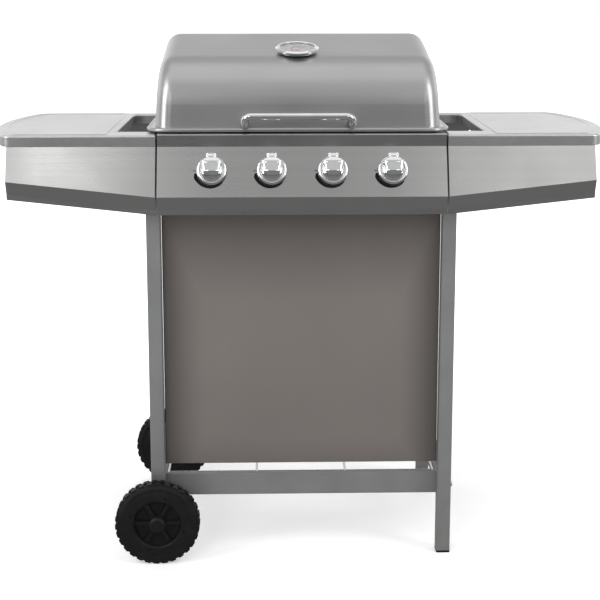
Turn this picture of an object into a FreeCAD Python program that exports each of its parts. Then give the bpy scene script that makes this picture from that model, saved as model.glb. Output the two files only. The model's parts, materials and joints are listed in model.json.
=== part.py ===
import FreeCAD, Part
import math
import os

# Gas barbecue grill on a two-wheeled cart, with four burners, a hinged lid and two side shelves.
# Millimetres. +Z is up, the front faces -Y, and +X is on the right of a person standing in front.
# The parts are built with Y = 0 at the front faces of the legs and Z = 0 on the floor.
# At the end everything is moved along Y, so that the origin is the centre of the footprint.

V = FreeCAD.Vector

# ---------------------------------------------------------------- driving dimensions
SHEET = 1.2                    # sheet steel of the panels, shelves and firebox
RUN_GAP = 0.05                 # radial clearance of a shaft that turns in a hole
PART_GAP = 0.3                 # gap between parts that move past each other

LEG = 25.0                     # side of the square leg tube
TUBE_WALL = 1.2
CART_HALF_W = 272.5            # outer side faces of the legs
CART_DEPTH = 346.5             # front faces of the front legs to back faces of the rear legs
FRAME_TOP = 757.5              # top of the legs and the upper rails
LEG_INNER_X = CART_HALF_W - LEG
LEG_MID_X = CART_HALF_W - LEG / 2
REAR_LEG_Y = CART_DEPTH - LEG

WHEEL_R = 76.0
WHEEL_W = 28.0
AXLE_R = 4.0
AXLE_Z = WHEEL_R
WHEEL_STANDOFF = 9.6           # leg face to the near side of a wheel
RIM_R = 48.0                   # inner edge of a wheel's rim
TREAD_R = 71.0                 # bottom of the grooves between the lugs
LUG_COUNT = 30                 # lugs in each of the two staggered rows
LUG_GAP_W = 5.6
WEB_T = 5.0
SPOKE_COUNT = 6
SPOKE_W = 7.0
SPOKE_DEPTH = 17.0
WINDOW_R = 6.5                 # holes in the web between the spokes
WINDOW_AT = 31.0
HUB_R = 14.0
AXLE_CAP_T = 7.0

FOOT_T = 4.0                   # part of a foot plug that shows under the leg

RAIL_H = 42.0                  # lower front and rear rails, flat tube
RAIL_T = 10.0
RAIL_Z = 108.0
RAIL_FRONT_Y = 21.0
RACK_Z = 140.0
RACK_WIRE_R = 2.0
RACK_WIRE_X = (-245.0, -82.0, 82.0, 245.0)
RACK_CROSS_PITCH = 57.0
RACK_CROSS_COUNT = 5
RACK_CROSS_START = 30.0        # front rail to the first cross wire

PANEL_HALF_W = 247.0           # front panel and control panel
FRONT_PANEL_Y = 20.0
FRONT_PANEL_Z = (169.0, 636.0)
FRONT_PANEL_FLANGE = 14.0

CONSOLE_TOP = 779.0            # top of the control panel
CONSOLE_BACK_Y = -1.0
BROW_Y = -33.0                 # upright band above the sloping face
BROW_Z = 758.0
FOLD_Y = -63.0                 # foremost fold below the sloping face
FOLD_Z = 675.0
LIP_Y = -55.0                  # short upright lip under the fold
LIP_Z = 652.0
CONSOLE_BOTTOM = 643.0
LIP_RETURN = 14.0

KNOB_X = (-154.0, -52.0, 52.0, 154.0)
KNOB_Z = 718.0
KNOB_R = 25.0
KNOB_STANDOFF = 5.2            # panel face to the knob's skirt
KNOB_SKIRT_H = 8.0
KNOB_H = 33.0                  # panel face to the top of the grip
KNOB_PUSH = 3.5
STEM_R = 3.0
STEM_FLAT = 2.2                # axis to the flat of the D-shaped stem
STEM_HOLE_R = 6.5              # hole in the control panel round a stem
BEZEL_BORE_R = 7.5
BEZEL_R = 25.6
BEZEL_H = 1.0

SHELF_TOP = 777.5
SHELF_SKIRT = 18.8
SHELF_IN_X = 250.2             # end of a shelf next to the firebox
SHELF_CORNER_X = 508.0         # straight front and back edges end here
SHELF_OUT_X = 547.0            # middle of the bowed outer edge
SHELF_BACK_Y = 340.0
NOTCH_X = 322.0                # cut-out between shelf and lid
NOTCH_Y = (24.6, 314.0)
NOTCH_CORNER = 22.0
BEAD_INSET = 13.0
BEAD_W = 6.0
BEAD_H = 1.2
FASCIA_END_X = 503.0
FASCIA_RISE = 26.0             # the fascia's lower edge climbs this much to its outer end
FASCIA_TOP = SHELF_TOP - SHELF_SKIRT - 0.1   # the fascia's face starts just under the shelf's skirt
FASCIA_TOP_LAP = 14.0
BRACKET_REACH = 102.0          # gussets under the shelves
BRACKET_DROP = 93.0
BRACKET_T = 1.5
BRACKET_Y = (12.0, 329.0)      # front faces of the front and rear gussets

BOX_HALF_W = 236.0             # firebox walls
BOX_Y = (28.0, 318.0)
BOX_TOP = 784.0
BOX_WALL_BOTTOM = 640.0
DRAIN_Z = 600.0
DRAIN_HALF_W = 60.0
DRAIN_Y = (125.0, 225.0)
DRAIN_COLLAR = 8.0
RIM_HALF_W = 262.0
RIM_Y = (2.0, 321.0)
LEDGE_W = 9.0
TAMER_LEDGE_Z = 724.0
GRATE_LEDGE_Z = 752.0

BURNER_Z = 706.0
BURNER_R = 12.5
BURNER_Y = (6.0, 298.0)
PORT_PITCH = 18.0
PORT_R = 1.5
PORT_COUNT = 12                # in each of the two rows
PORT_START = 62.0
PORT_LEAN = math.radians(55)   # from straight up
IGNITER_ASIDE = 20.0           # burner axis to igniter axis
IGNITER_R = 3.5
TAMER_HALF_W = 38.0
TAMER_RISE = 20.0

GRATE_T = 8.0
GRATE_HALF_W = 115.0
GRATE_MID_X = 117.0
GRATE_BAR_PITCH = 16.4
GRATE_SLOT_W = 10.0
GRATE_BORDER = 9.0
GRATE_SLOTS_ASIDE = 6          # slots on each side of the middle one

WARMER_HALF_W = 214.0          # wires of the warming rack
WARMER_Y = (200.0, 296.0)
WARMER_Z = 846.0
WARMER_WIRES = 15

LID_OFFSET_X = -6.0            # the lid sits a little to the left, within the play of its hinges
LID_HALF_W = 248.5
LID_BASE = 785.4               # underside of the lid's flat rim
LID_DRAFT_DEG = 2.9            # lean of the end walls
LID_END_R = 28.0
LID_WALL = 1.2
LID_BACK_Y = 333.0
LID_SLOPE_DEG = 12.5
LID_RUN_DOWN = 60.0            # the dome is shaped this far below the rim, then cut off
LID_FOOT = (-8.0, LID_BASE - LID_RUN_DOWN)
LID_KNEE_Y = 14.0              # front wall meets top slope, before rounding
LID_RIDGE_Y = 240.0
LID_BACK_CORNER_Z = 898.0
LID_CORNER_R = (95.0, 70.0, 55.0)
LID_RIM_SIDE = 14.0            # rim beyond the dome at the sides
LID_RIM_FRONT = 19.0
LID_RIM_CORNER = 36.0
LID_BEAD_R = 3.5
LID_BOTTOM = 780.5
LID_CLEAR = 0.2                # lid bumpers to the control panel
BUMPER_X = 205.0
BUMPER_Y = -6.0
BUMPER_R = 4.0

HINGE_Y = 346.0
HINGE_Z = 789.0
HINGE_X = 150.0
HINGE_PIN_R = 3.0
HINGE_PIN_HEAD_R = 5.5
HINGE_GAP_HALF = 9.0           # cheek to cheek, half
EAR_T = 3.0
CHEEK_T = 2.0

HANDLE_R = 6.4
HANDLE_HALF = 93.0
HANDLE_FOOT = (-17.0, 794.2)   # (Y, Z) of the handle's axis at its feet, its knee and its bar
HANDLE_KNEE = (-33.0, 794.2)
HANDLE_BAR = (-44.0, 810.0)
HANDLE_SCREW_R = 3.0
HANDLE_SCREW_HEAD_R = 5.5
SPACER_R = 6.5

GAUGE_Y = 96.0
GAUGE_R = 38.5
GAUGE_CASE_R = 34.0
GAUGE_H = 11.0
PROBE_R = 3.0
PROBE_LENGTH = 62.0

TRAY_HALF_W = 70.0
TRAY_Y = (108.0, 242.0)
TRAY_TOP = 588.6
TRAY_DEPTH = 22.0
TRAY_FLANGE = 11.0

MANIFOLD_R = 7.0
MANIFOLD_X = (-182.0, 215.0)
MANIFOLD_DEPTH = 24.0          # panel face to the manifold's axis, square to the face
MANIFOLD_DROP = 18.0           # knob axis down to the manifold's axis, along the face
VALVE_R = 10.0
INLET_R = 6.58                 # G 1/4 pipe thread
INLET_LENGTH = 14.0

RAIL_BOLT = (6.0, 3.5)         # radius and height of the bolt heads at the lower rails
BRACKET_BOLT = (4.5, 3.0)
BRACKET_BOLT_Y = (18.5, 335.5)
BRACKET_BOLT_Z = (700.0, 738.0)
PANEL_SCREW = (3.8, 2.4)
PANEL_SCREW_Z = (210.0, 412.0, 614.0)

# ---------------------------------------------------------------- derived places
FACE_RUN = BROW_Z - FOLD_Z
FACE_LEAN = math.atan2(BROW_Y - FOLD_Y, FACE_RUN)
FACE_OUT = V(0, -math.cos(FACE_LEAN), math.sin(FACE_LEAN))
FACE_UP = V(0, math.sin(FACE_LEAN), math.cos(FACE_LEAN))
KNOB_Y = BROW_Y - (BROW_Z - KNOB_Z) * math.tan(FACE_LEAN)
LID_SLOPE = math.radians(LID_SLOPE_DEG)
LID_TOP_AT_GAUGE = 910.0
GAUGE_OUT = V(0, -math.sin(LID_SLOPE), math.cos(LID_SLOPE))
GAUGE_AT = V(LID_OFFSET_X, GAUGE_Y, LID_TOP_AT_GAUGE)
REAR_RAIL_Y = CART_DEPTH - RAIL_FRONT_Y - RAIL_T
X_AXIS = V(1, 0, 0)
Y_AXIS = V(0, 1, 0)
Z_AXIS = V(0, 0, 1)


# ---------------------------------------------------------------- shape helpers
def box(x, y, z):
    """Block between the (low, high) pairs x, y and z."""
    size = (x[1] - x[0], y[1] - y[0], z[1] - z[0])
    return Part.makeBox(*size, V(x[0], y[0], z[0]))


def rod(start, end, radius):
    """Round bar from start to end."""
    return Part.makeCylinder(radius, (end - start).Length, start, end - start)


def union(shapes):
    """One solid out of touching or overlapping shapes."""
    return shapes[0].multiFuse(shapes[1:]).removeSplitter()


def place_on(axis, at):
    """Function that puts a flat (u, v) point on the plane across the axis."""
    if axis == "x":
        return lambda u, v: V(at, u, v)
    if axis == "y":
        return lambda u, v: V(u, at, v)
    return lambda u, v: V(u, v, at)


def rounded_wire(corners, place):
    """Closed wire through (u, v, radius) corners, each rounded to its radius."""
    arcs = []
    for i, (u, v, radius) in enumerate(corners):
        here = V(u, v, 0)
        back = (V(*corners[i - 1][:2], 0) - here).normalize()
        ahead = (V(*corners[(i + 1) % len(corners)][:2], 0) - here).normalize()
        half = back.getAngle(ahead) / 2
        inward = (back + ahead).normalize() if radius else V()
        start = here + back * (radius / math.tan(half))
        end = here + ahead * (radius / math.tan(half))
        middle = here + inward * (radius / math.sin(half) - radius)
        arcs.append((start, middle, end, radius))
    edges = []
    for i, (start, middle, end, radius) in enumerate(arcs):
        if radius:
            edges.append(Part.Arc(*[place(p.x, p.y) for p in (start, middle, end)]).toShape())
        after = arcs[(i + 1) % len(arcs)][0]
        if (after - end).Length > 1e-6:
            edges.append(Part.makeLine(place(end.x, end.y), place(after.x, after.y)))
    return Part.Wire(edges)


def prism(corners, axis, low, high):
    """Solid with a rounded outline, drawn out along an axis from low to high."""
    face = Part.Face(rounded_wire(corners, place_on(axis, low)))
    along = {"x": X_AXIS, "y": Y_AXIS, "z": Z_AXIS}[axis]
    return face.extrude(along * (high - low))


def offset_path(points, distance):
    """Open path moved sideways, to the left of its direction, by the distance."""
    moved = []
    for i, here in enumerate(points):
        before = points[max(i - 1, 0)]
        after = points[min(i + 1, len(points) - 1)]
        into = (V(*here, 0) - V(*before, 0)) if i else (V(*after, 0) - V(*here, 0))
        out = (V(*after, 0) - V(*here, 0)) if i < len(points) - 1 else into
        left_in = V(-into.y, into.x, 0).normalize()
        left_out = V(-out.y, out.x, 0).normalize()
        middle = (left_in + left_out).normalize()
        shift = middle * (distance / middle.dot(left_in))
        moved.append((here[0] + shift.x, here[1] + shift.y))
    return moved


def sheet_section(points, radius, thickness=SHEET):
    """Closed outline of a folded sheet whose outer skin follows the open path."""
    inner = offset_path(points, thickness)
    last = len(points) - 1
    corners = [(u, v, radius if 0 < i < last else 0) for i, (u, v) in enumerate(points)]
    inside = [(u, v, radius if 0 < i < last else 0) for i, (u, v) in enumerate(inner)]
    return corners + inside[::-1]


def square_tube(x, y, z, along, wall=TUBE_WALL, corner=2.5):
    """Hollow rectangular tube inside the (low, high) pairs, open along one axis."""
    spans = {"x": (y, z, x), "y": (x, z, y), "z": (x, y, z)}[along]
    (u0, u1), (v0, v1), (low, high) = spans
    skin = [(u0, v0, corner), (u1, v0, corner), (u1, v1, corner), (u0, v1, corner)]
    bore_r = corner - wall
    bore = [(u0 + wall, v0 + wall, bore_r), (u1 - wall, v0 + wall, bore_r),
            (u1 - wall, v1 - wall, bore_r), (u0 + wall, v1 - wall, bore_r)]
    return prism(skin, along, low, high).cut(prism(bore, along, low, high))


def swept_rod(points, bends, radius):
    """Bent round bar through the points, each inner corner bent to its own radius."""
    edges = []
    start = points[0]
    for i in range(1, len(points) - 1):
        here = points[i]
        back = (points[i - 1] - here).normalize()
        ahead = (points[i + 1] - here).normalize()
        half = back.getAngle(ahead) / 2
        bend = bends[i - 1]
        arc_in = here + back * (bend / math.tan(half))
        arc_out = here + ahead * (bend / math.tan(half))
        middle = here + (back + ahead).normalize() * (bend / math.sin(half) - bend)
        edges.append(Part.makeLine(start, arc_in))
        edges.append(Part.Arc(arc_in, middle, arc_out).toShape())
        start = arc_out
    edges.append(Part.makeLine(start, points[-1]))
    path = Part.Wire(edges)
    section = Part.Wire(Part.makeCircle(radius, points[0], points[1] - points[0]))
    return path.makePipeShell([section], True, True)


def turned(profile, at=V(), out=Z_AXIS):
    """Solid of revolution of (radius, height) points, standing at a place along a direction."""
    wire = Part.makePolygon([V(r, 0, h) for r, h in profile] + [V(profile[0][0], 0, profile[0][1])])
    solid = Part.Face(wire).revolve(V(), Z_AXIS, 360)
    return stand(solid, at, out)


def stand(shape, at, out):
    """Move a shape made around +Z so that +Z points along out, in the YZ plane, from at."""
    tilt = math.degrees(math.atan2(-out.y, out.z))
    shape.Placement = FreeCAD.Placement(at, FreeCAD.Rotation(X_AXIS, tilt)) * shape.Placement
    return shape


def mirrored(shape):
    """The same part for the other side of the grill."""
    return shape.mirror(V(), X_AXIS)


def knob_place(x):
    """Point on the panel face under the knob at x."""
    return V(x, KNOB_Y, KNOB_Z)


# ---------------------------------------------------------------- cart frame
def leg(side, rear):
    """Leg tube; the left pair ends just under the axle and is drilled for it."""
    y_low = REAR_LEG_Y if rear else 0.0
    x_mid = side * LEG_MID_X
    bottom = FOOT_T if side > 0 else AXLE_Z - LEG / 2
    tube = square_tube((x_mid - LEG / 2, x_mid + LEG / 2), (y_low, y_low + LEG), (bottom, FRAME_TOP), "z")
    if side > 0:
        return tube
    drill = rod(V(x_mid, y_low - 1, AXLE_Z), V(x_mid, y_low + LEG + 1, AXLE_Z), AXLE_R)
    return tube.cut(drill)


def leg_plug(side, rear):
    """Black plastic plug in the lower end of a leg; the right pair are the feet."""
    y_mid = (REAR_LEG_Y if rear else 0.0) + LEG / 2
    x_mid = side * LEG_MID_X
    top = FOOT_T if side > 0 else AXLE_Z - LEG / 2
    half = LEG / 2
    inside = half - TUBE_WALL
    outline = [(x_mid - half, y_mid - half, 2.5), (x_mid + half, y_mid - half, 2.5),
               (x_mid + half, y_mid + half, 2.5), (x_mid - half, y_mid + half, 2.5)]
    spigot = [(x_mid - inside, y_mid - inside, 1.3), (x_mid + inside, y_mid - inside, 1.3),
              (x_mid + inside, y_mid + inside, 1.3), (x_mid - inside, y_mid + inside, 1.3)]
    spigot_top = top + (18.0 if side > 0 else 7.0)
    return union([prism(outline, "z", top - FOOT_T, top), prism(spigot, "z", top, spigot_top)])


def lower_cross_rail(y_low):
    """Flat tube between the legs, front or rear."""
    return square_tube((-LEG_INNER_X, LEG_INNER_X), (y_low, y_low + RAIL_T), (RAIL_Z, RAIL_Z + RAIL_H), "x",
                       corner=2.0)


def side_rails(z_low):
    """Pair of square tubes from front leg to rear leg."""
    rails = []
    for side in (-1, 1):
        x_mid = side * LEG_MID_X
        x = (x_mid - LEG / 2, x_mid + LEG / 2)
        rails.append(square_tube(x, (LEG, REAR_LEG_Y), (z_low, z_low + LEG), "y"))
    return Part.makeCompound(rails)


def upper_rear_rail():
    z = (FRAME_TOP - LEG, FRAME_TOP)
    return square_tube((-LEG_INNER_X, LEG_INNER_X), (REAR_LEG_Y, CART_DEPTH), z, "x")


def front_panel():
    """Pan-shaped sheet between the front legs, folded back on all four sides."""
    y_back = FRONT_PANEL_Y + FRONT_PANEL_FLANGE
    skin = box((-PANEL_HALF_W, PANEL_HALF_W), (FRONT_PANEL_Y, y_back), FRONT_PANEL_Z)
    front_edges = [e for e in skin.Edges if abs(e.CenterOfMass.y - FRONT_PANEL_Y) < 1e-3]
    skin = skin.makeFillet(2.0, front_edges)
    low, high = FRONT_PANEL_Z
    inside = box((-PANEL_HALF_W + SHEET, PANEL_HALF_W - SHEET), (FRONT_PANEL_Y + SHEET, y_back + 1),
                 (low + SHEET, high - SHEET))
    return skin.cut(inside)


def bottom_rack():
    """Welded wire rack for the gas bottle, from the front rail to the rear rail."""
    front = RAIL_FRONT_Y + RAIL_T
    wires = [rod(V(x, front, RACK_Z), V(x, REAR_RAIL_Y, RACK_Z), RACK_WIRE_R) for x in RACK_WIRE_X]
    cross_z = RACK_Z - 1.6 * RACK_WIRE_R
    reach = RACK_WIRE_X[-1] + RACK_WIRE_R
    for i in range(RACK_CROSS_COUNT):
        y = front + RACK_CROSS_START + i * RACK_CROSS_PITCH
        wires.append(rod(V(-reach, y, cross_z), V(reach, y, cross_z), RACK_WIRE_R))
    return union(wires)


# ---------------------------------------------------------------- wheels and axle
def wheel_span(rear):
    """Low and high Y of a wheel."""
    low = CART_DEPTH + WHEEL_STANDOFF if rear else -WHEEL_STANDOFF - WHEEL_W
    return low, low + WHEEL_W


def wheel(rear):
    """Moulded wheel: hub, six spokes and a deep rim with a ribbed tread."""
    low, high = wheel_span(rear)
    half = WHEEL_W / 2
    rim = [(RIM_R, -half + 3), (RIM_R + 4, -half), (TREAD_R, -half), (WHEEL_R, -half + 4),
           (WHEEL_R, -1.5), (TREAD_R, 0), (WHEEL_R, 1.5), (WHEEL_R, half - 4),
           (TREAD_R, half), (RIM_R + 4, half), (RIM_R, half - 3)]
    body = turned(rim)
    notches = []
    for i in range(LUG_COUNT):
        for row, shift in ((-1, 0.0), (1, 0.5)):
            z_low = -half - 1 if row < 0 else 2.2
            notch = Part.makeBox(6, LUG_GAP_W, half - 1.2, V(TREAD_R + 1.5, -LUG_GAP_W / 2, z_low))
            notch.rotate(V(), Z_AXIS, (i + shift) * 360 / LUG_COUNT)
            notches.append(notch)
    body = body.cut(Part.makeCompound(notches))
    web = Part.makeCylinder(RIM_R + 2, WEB_T, V(0, 0, -WEB_T / 2))
    hub = Part.makeCylinder(HUB_R, WHEEL_W, V(0, 0, -half))
    pieces = [body, web, hub]
    windows = []
    for i in range(SPOKE_COUNT):
        corner = V(HUB_R - 3, -SPOKE_W / 2, -SPOKE_DEPTH / 2)
        spoke = Part.makeBox(RIM_R - HUB_R + 6, SPOKE_W, SPOKE_DEPTH, corner)
        spoke.rotate(V(), Z_AXIS, i * 360 / SPOKE_COUNT)
        pieces.append(spoke)
        window = Part.makeCylinder(WINDOW_R, WEB_T + 3, V(WINDOW_AT, 0, -(WEB_T + 3) / 2))
        window.rotate(V(), Z_AXIS, (i + 0.5) * 360 / SPOKE_COUNT)
        windows.append(window)
    body = union(pieces)
    body = body.cut(Part.makeCompound(windows))
    body = body.cut(Part.makeCylinder(AXLE_R + RUN_GAP, WHEEL_W + 2, V(0, 0, -half - 1)))
    body.rotate(V(), X_AXIS, 90)
    body.translate(V(-LEG_MID_X, (low + high) / 2, AXLE_Z))
    return body


def axle_ends():
    """Y of the two ends of the axle."""
    return wheel_span(False)[0] - PART_GAP - 3, wheel_span(True)[1] + PART_GAP + 3


def axle():
    front, back = axle_ends()
    return rod(V(-LEG_MID_X, front, AXLE_Z), V(-LEG_MID_X, back, AXLE_Z), AXLE_R)


def axle_caps():
    """Push-on caps that keep the wheels on the axle."""
    front, back = axle_ends()
    caps = []
    for end, out in ((front, -1), (back, 1)):
        profile = [(0, 0), (AXLE_R, 0), (AXLE_R, -3), (12, -3), (HUB_R + 0.8, -1), (HUB_R + 0.8, 0.5),
                   (11, 3.2), (0, AXLE_CAP_T - 3)]
        cap = turned(profile)
        cap.rotate(V(), X_AXIS, 90 if out < 0 else -90)
        cap.translate(V(-LEG_MID_X, end, AXLE_Z))
        caps.append(cap)
    return Part.makeCompound(caps)


def axle_spacers():
    """Sleeves on the axle between the legs and the wheels."""
    sleeves = []
    reach = WHEEL_STANDOFF - PART_GAP
    for low, high in ((-reach, 0.0), (CART_DEPTH, CART_DEPTH + reach)):
        sleeve = rod(V(-LEG_MID_X, low, AXLE_Z), V(-LEG_MID_X, high, AXLE_Z), 8.0)
        sleeves.append(sleeve.cut(rod(V(-LEG_MID_X, low, AXLE_Z), V(-LEG_MID_X, high, AXLE_Z), AXLE_R)))
    return Part.makeCompound(sleeves)


# ---------------------------------------------------------------- control panel, knobs and gas train
def console_path():
    """Outer skin of the control panel from its back edge down to the lip's return."""
    return [(CONSOLE_BACK_Y, CONSOLE_TOP), (BROW_Y, CONSOLE_TOP), (BROW_Y, BROW_Z), (FOLD_Y, FOLD_Z),
            (LIP_Y, LIP_Z), (LIP_Y, CONSOLE_BOTTOM), (LIP_Y + LIP_RETURN, CONSOLE_BOTTOM)]


def end_plate(path, back_y, low, high):
    """Flat plate that closes the end of a folded sheet."""
    inner = offset_path(path, SHEET / 2)
    corners = [(u, v, 0) for u, v in inner if u < back_y]
    corners += [(back_y, inner[-1][1], 0), (back_y, inner[0][1], 0)]
    return prism(corners, "x", low, high)


def control_panel():
    """Folded front console with closed ends and four holes for the valve stems."""
    path = console_path()
    skin = prism(sheet_section(path, 2.0), "x", -PANEL_HALF_W, PANEL_HALF_W)
    ends = [end_plate(path, CONSOLE_BACK_Y, -PANEL_HALF_W, -PANEL_HALF_W + SHEET),
            end_plate(path, CONSOLE_BACK_Y, PANEL_HALF_W - SHEET, PANEL_HALF_W)]
    panel = union([skin] + ends)
    holes = [stand(Part.makeCylinder(STEM_HOLE_R, 20, V(0, 0, -10)), knob_place(x), FACE_OUT) for x in KNOB_X]
    return panel.cut(Part.makeCompound(holes))


def knob_bezels():
    """Round base plates behind the knobs."""
    rings = []
    for x in KNOB_X:
        profile = [(BEZEL_BORE_R, 0), (BEZEL_R, 0), (BEZEL_R, BEZEL_H * 0.5), (BEZEL_R - 0.6, BEZEL_H),
                   (BEZEL_BORE_R, BEZEL_H)]
        rings.append(turned(profile, knob_place(x), FACE_OUT))
    return Part.makeCompound(rings)


def stem_shape(radius, flat, low, high):
    """D-shaped bar around the knob axis."""
    bar = Part.makeCylinder(radius, high - low, V(0, 0, low))
    return bar.cut(Part.makeBox(20, 20, high - low, V(-10, flat, low)))


def valve_stem(x):
    """Stem of a gas valve, which the knob turns: round in the valve, D-shaped in the knob."""
    round_part = Part.makeCylinder(STEM_R, 17.0, V(0, 0, -23.0))
    grip_part = stem_shape(STEM_R, STEM_FLAT, -6.0, 20.0)
    collar = Part.makeCylinder(4.6, 2.0, V(0, 0, -10.0))
    return stand(union([round_part, grip_part, collar]), knob_place(x), FACE_OUT)


def knob(x):
    """Chromed knob: a round skirt with a tall tapering grip across it."""
    low = KNOB_STANDOFF
    skirt_top = low + KNOB_SKIRT_H
    profile = [(0, low), (KNOB_R - 0.8, low), (KNOB_R, low + 0.8), (KNOB_R, low + 3.5), (KNOB_R - 2.5, skirt_top),
               (16.5, skirt_top + 2.0), (14.0, skirt_top + 8), (0, skirt_top + 9)]
    skirt = turned(profile)
    foot = [(-8, -21.5, 5), (8, -21.5, 5), (6.5, 22, 4.5), (-6.5, 22, 4.5)]
    top = [(-5, -15, 3.5), (5, -15, 3.5), (4, 18.5, 3), (-4, 18.5, 3)]
    base = rounded_wire(foot, place_on("z", low + 5))
    crest = rounded_wire(top, place_on("z", KNOB_H))
    grip = Part.makeLoft([base, crest], True, True)
    hollow = turned([(8, low - 1), (KNOB_R - 2.2, low - 1), (KNOB_R - 2.2, low + 3), (14.5, skirt_top),
                     (8, skirt_top)])
    body = union([skirt, grip]).cut(hollow)
    bore = stem_shape(STEM_R + RUN_GAP, STEM_FLAT + RUN_GAP, low - 1, 20.0 + KNOB_PUSH + 1.0)
    return stand(body.cut(bore), knob_place(x), FACE_OUT)


def manifold_axis():
    """Point of the gas manifold's axis at X = 0, below the valve bodies."""
    return V(0, KNOB_Y, KNOB_Z) - FACE_OUT * MANIFOLD_DEPTH - FACE_UP * MANIFOLD_DROP


def manifold_bar():
    at = manifold_axis()
    return rod(V(MANIFOLD_X[0], at.y, at.z), V(MANIFOLD_X[1], at.y, at.z), MANIFOLD_R)


def gas_manifold():
    """Gas pipe along the back of the control panel, capped at its left end."""
    at = manifold_axis()
    bore = rod(V(MANIFOLD_X[0] + 4, at.y, at.z), V(MANIFOLD_X[1], at.y, at.z), MANIFOLD_R - 1.5)
    return manifold_bar().cut(bore)


def gas_valve(x):
    """Valve body on the manifold, with the bore for its stem and a nozzle towards the burner."""
    body = stand(Part.makeCylinder(VALVE_R, 20.0, V(0, 0, -32.0)), knob_place(x), FACE_OUT)
    heart = V(x, KNOB_Y, KNOB_Z) - FACE_OUT * MANIFOLD_DEPTH
    neck = rod(heart, heart - FACE_UP * 14.0, 6.0)
    back = V(x, KNOB_Y, KNOB_Z) - FACE_OUT * 29.0
    nozzle = rod(V(x, back.y, BURNER_Z), V(x, 14.0, BURNER_Z), 4.0)
    solid = union([body, neck, nozzle]).cut(manifold_bar())
    bore = stand(Part.makeCylinder(STEM_R + RUN_GAP, 13.0, V(0, 0, -24.0)), knob_place(x), FACE_OUT)
    return solid.cut(bore)


def gas_inlet():
    """Elbow on the manifold's right end, with a threaded nipple pointing down for the hose."""
    at = manifold_axis()
    end = MANIFOLD_X[1]
    block = box((end, end + 20), (at.y - 10, at.y + 10), (at.z - 12, at.z + 10))
    block = block.makeFillet(2.0, block.Edges)
    x_mid = end + 10
    collar = rod(V(x_mid, at.y, at.z - 16), V(x_mid, at.y, at.z - 11), 9.0)
    nipple = rod(V(x_mid, at.y, at.z - 16 - INLET_LENGTH), V(x_mid, at.y, at.z - 15), INLET_R)
    port = rod(V(x_mid, at.y, at.z - 40), V(x_mid, at.y, at.z), 3.5)
    return union([block, collar, nipple]).cut(port)


def burner(x):
    """Tube burner with two rows of gas ports and a tongue that rests on the back ledge."""
    low, high = BURNER_Y
    tube = rod(V(x, low, BURNER_Z), V(x, high, BURNER_Z), BURNER_R)
    bore = rod(V(x, low - 1, BURNER_Z), V(x, high - SHEET, BURNER_Z), BURNER_R - SHEET)
    tongue = box((x - 8, x + 8), (high, BOX_Y[1] - SHEET), (BURNER_Z - 1, BURNER_Z + 1))
    tube = union([tube, tongue]).cut(bore)
    ports = []
    for i in range(PORT_COUNT):
        y = PORT_START + i * PORT_PITCH
        for side in (-1, 1):
            aim = V(side * math.sin(PORT_LEAN), 0, math.cos(PORT_LEAN))
            middle = V(x, y, BURNER_Z)
            ports.append(rod(middle + aim * 6, middle + aim * 16, PORT_R))
    return tube.cut(Part.makeCompound(ports))


def igniter(x):
    """Ceramic rod with a spark wire beside a burner, held in the firebox's front wall."""
    side_x = x + IGNITER_ASIDE
    ceramic = rod(V(side_x, BOX_Y[0] - 12, BURNER_Z), V(side_x, BOX_Y[0] + 34, BURNER_Z), IGNITER_R)
    wire = swept_rod([V(side_x, BOX_Y[0] + 30, BURNER_Z), V(side_x, BOX_Y[0] + 46, BURNER_Z),
                      V(side_x - 6, BOX_Y[0] + 46, BURNER_Z + 4)], [2.5], 0.9)
    return union([ceramic, wire])


# ---------------------------------------------------------------- firebox and cooking parts
def hopper(half_w, y, top, drain_half, drain_y, bottom):
    """Four-sided funnel under the firebox walls."""
    upper = Part.makePolygon([V(-half_w, y[0], top), V(half_w, y[0], top), V(half_w, y[1], top),
                              V(-half_w, y[1], top), V(-half_w, y[0], top)])
    lower = Part.makePolygon([V(-drain_half, drain_y[0], bottom), V(drain_half, drain_y[0], bottom),
                              V(drain_half, drain_y[1], bottom), V(-drain_half, drain_y[1], bottom),
                              V(-drain_half, drain_y[0], bottom)])
    return Part.makeLoft([upper, lower], True, True)


def firebox_skin():
    """Outside of the firebox as a filled solid."""
    walls = box((-BOX_HALF_W, BOX_HALF_W), BOX_Y, (BOX_WALL_BOTTOM, BOX_TOP))
    funnel = hopper(BOX_HALF_W, BOX_Y, BOX_WALL_BOTTOM, DRAIN_HALF_W, DRAIN_Y, DRAIN_Z)
    collar = box((-DRAIN_HALF_W, DRAIN_HALF_W), DRAIN_Y, (DRAIN_Z - DRAIN_COLLAR, DRAIN_Z))
    return union([walls, funnel, collar])


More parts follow.
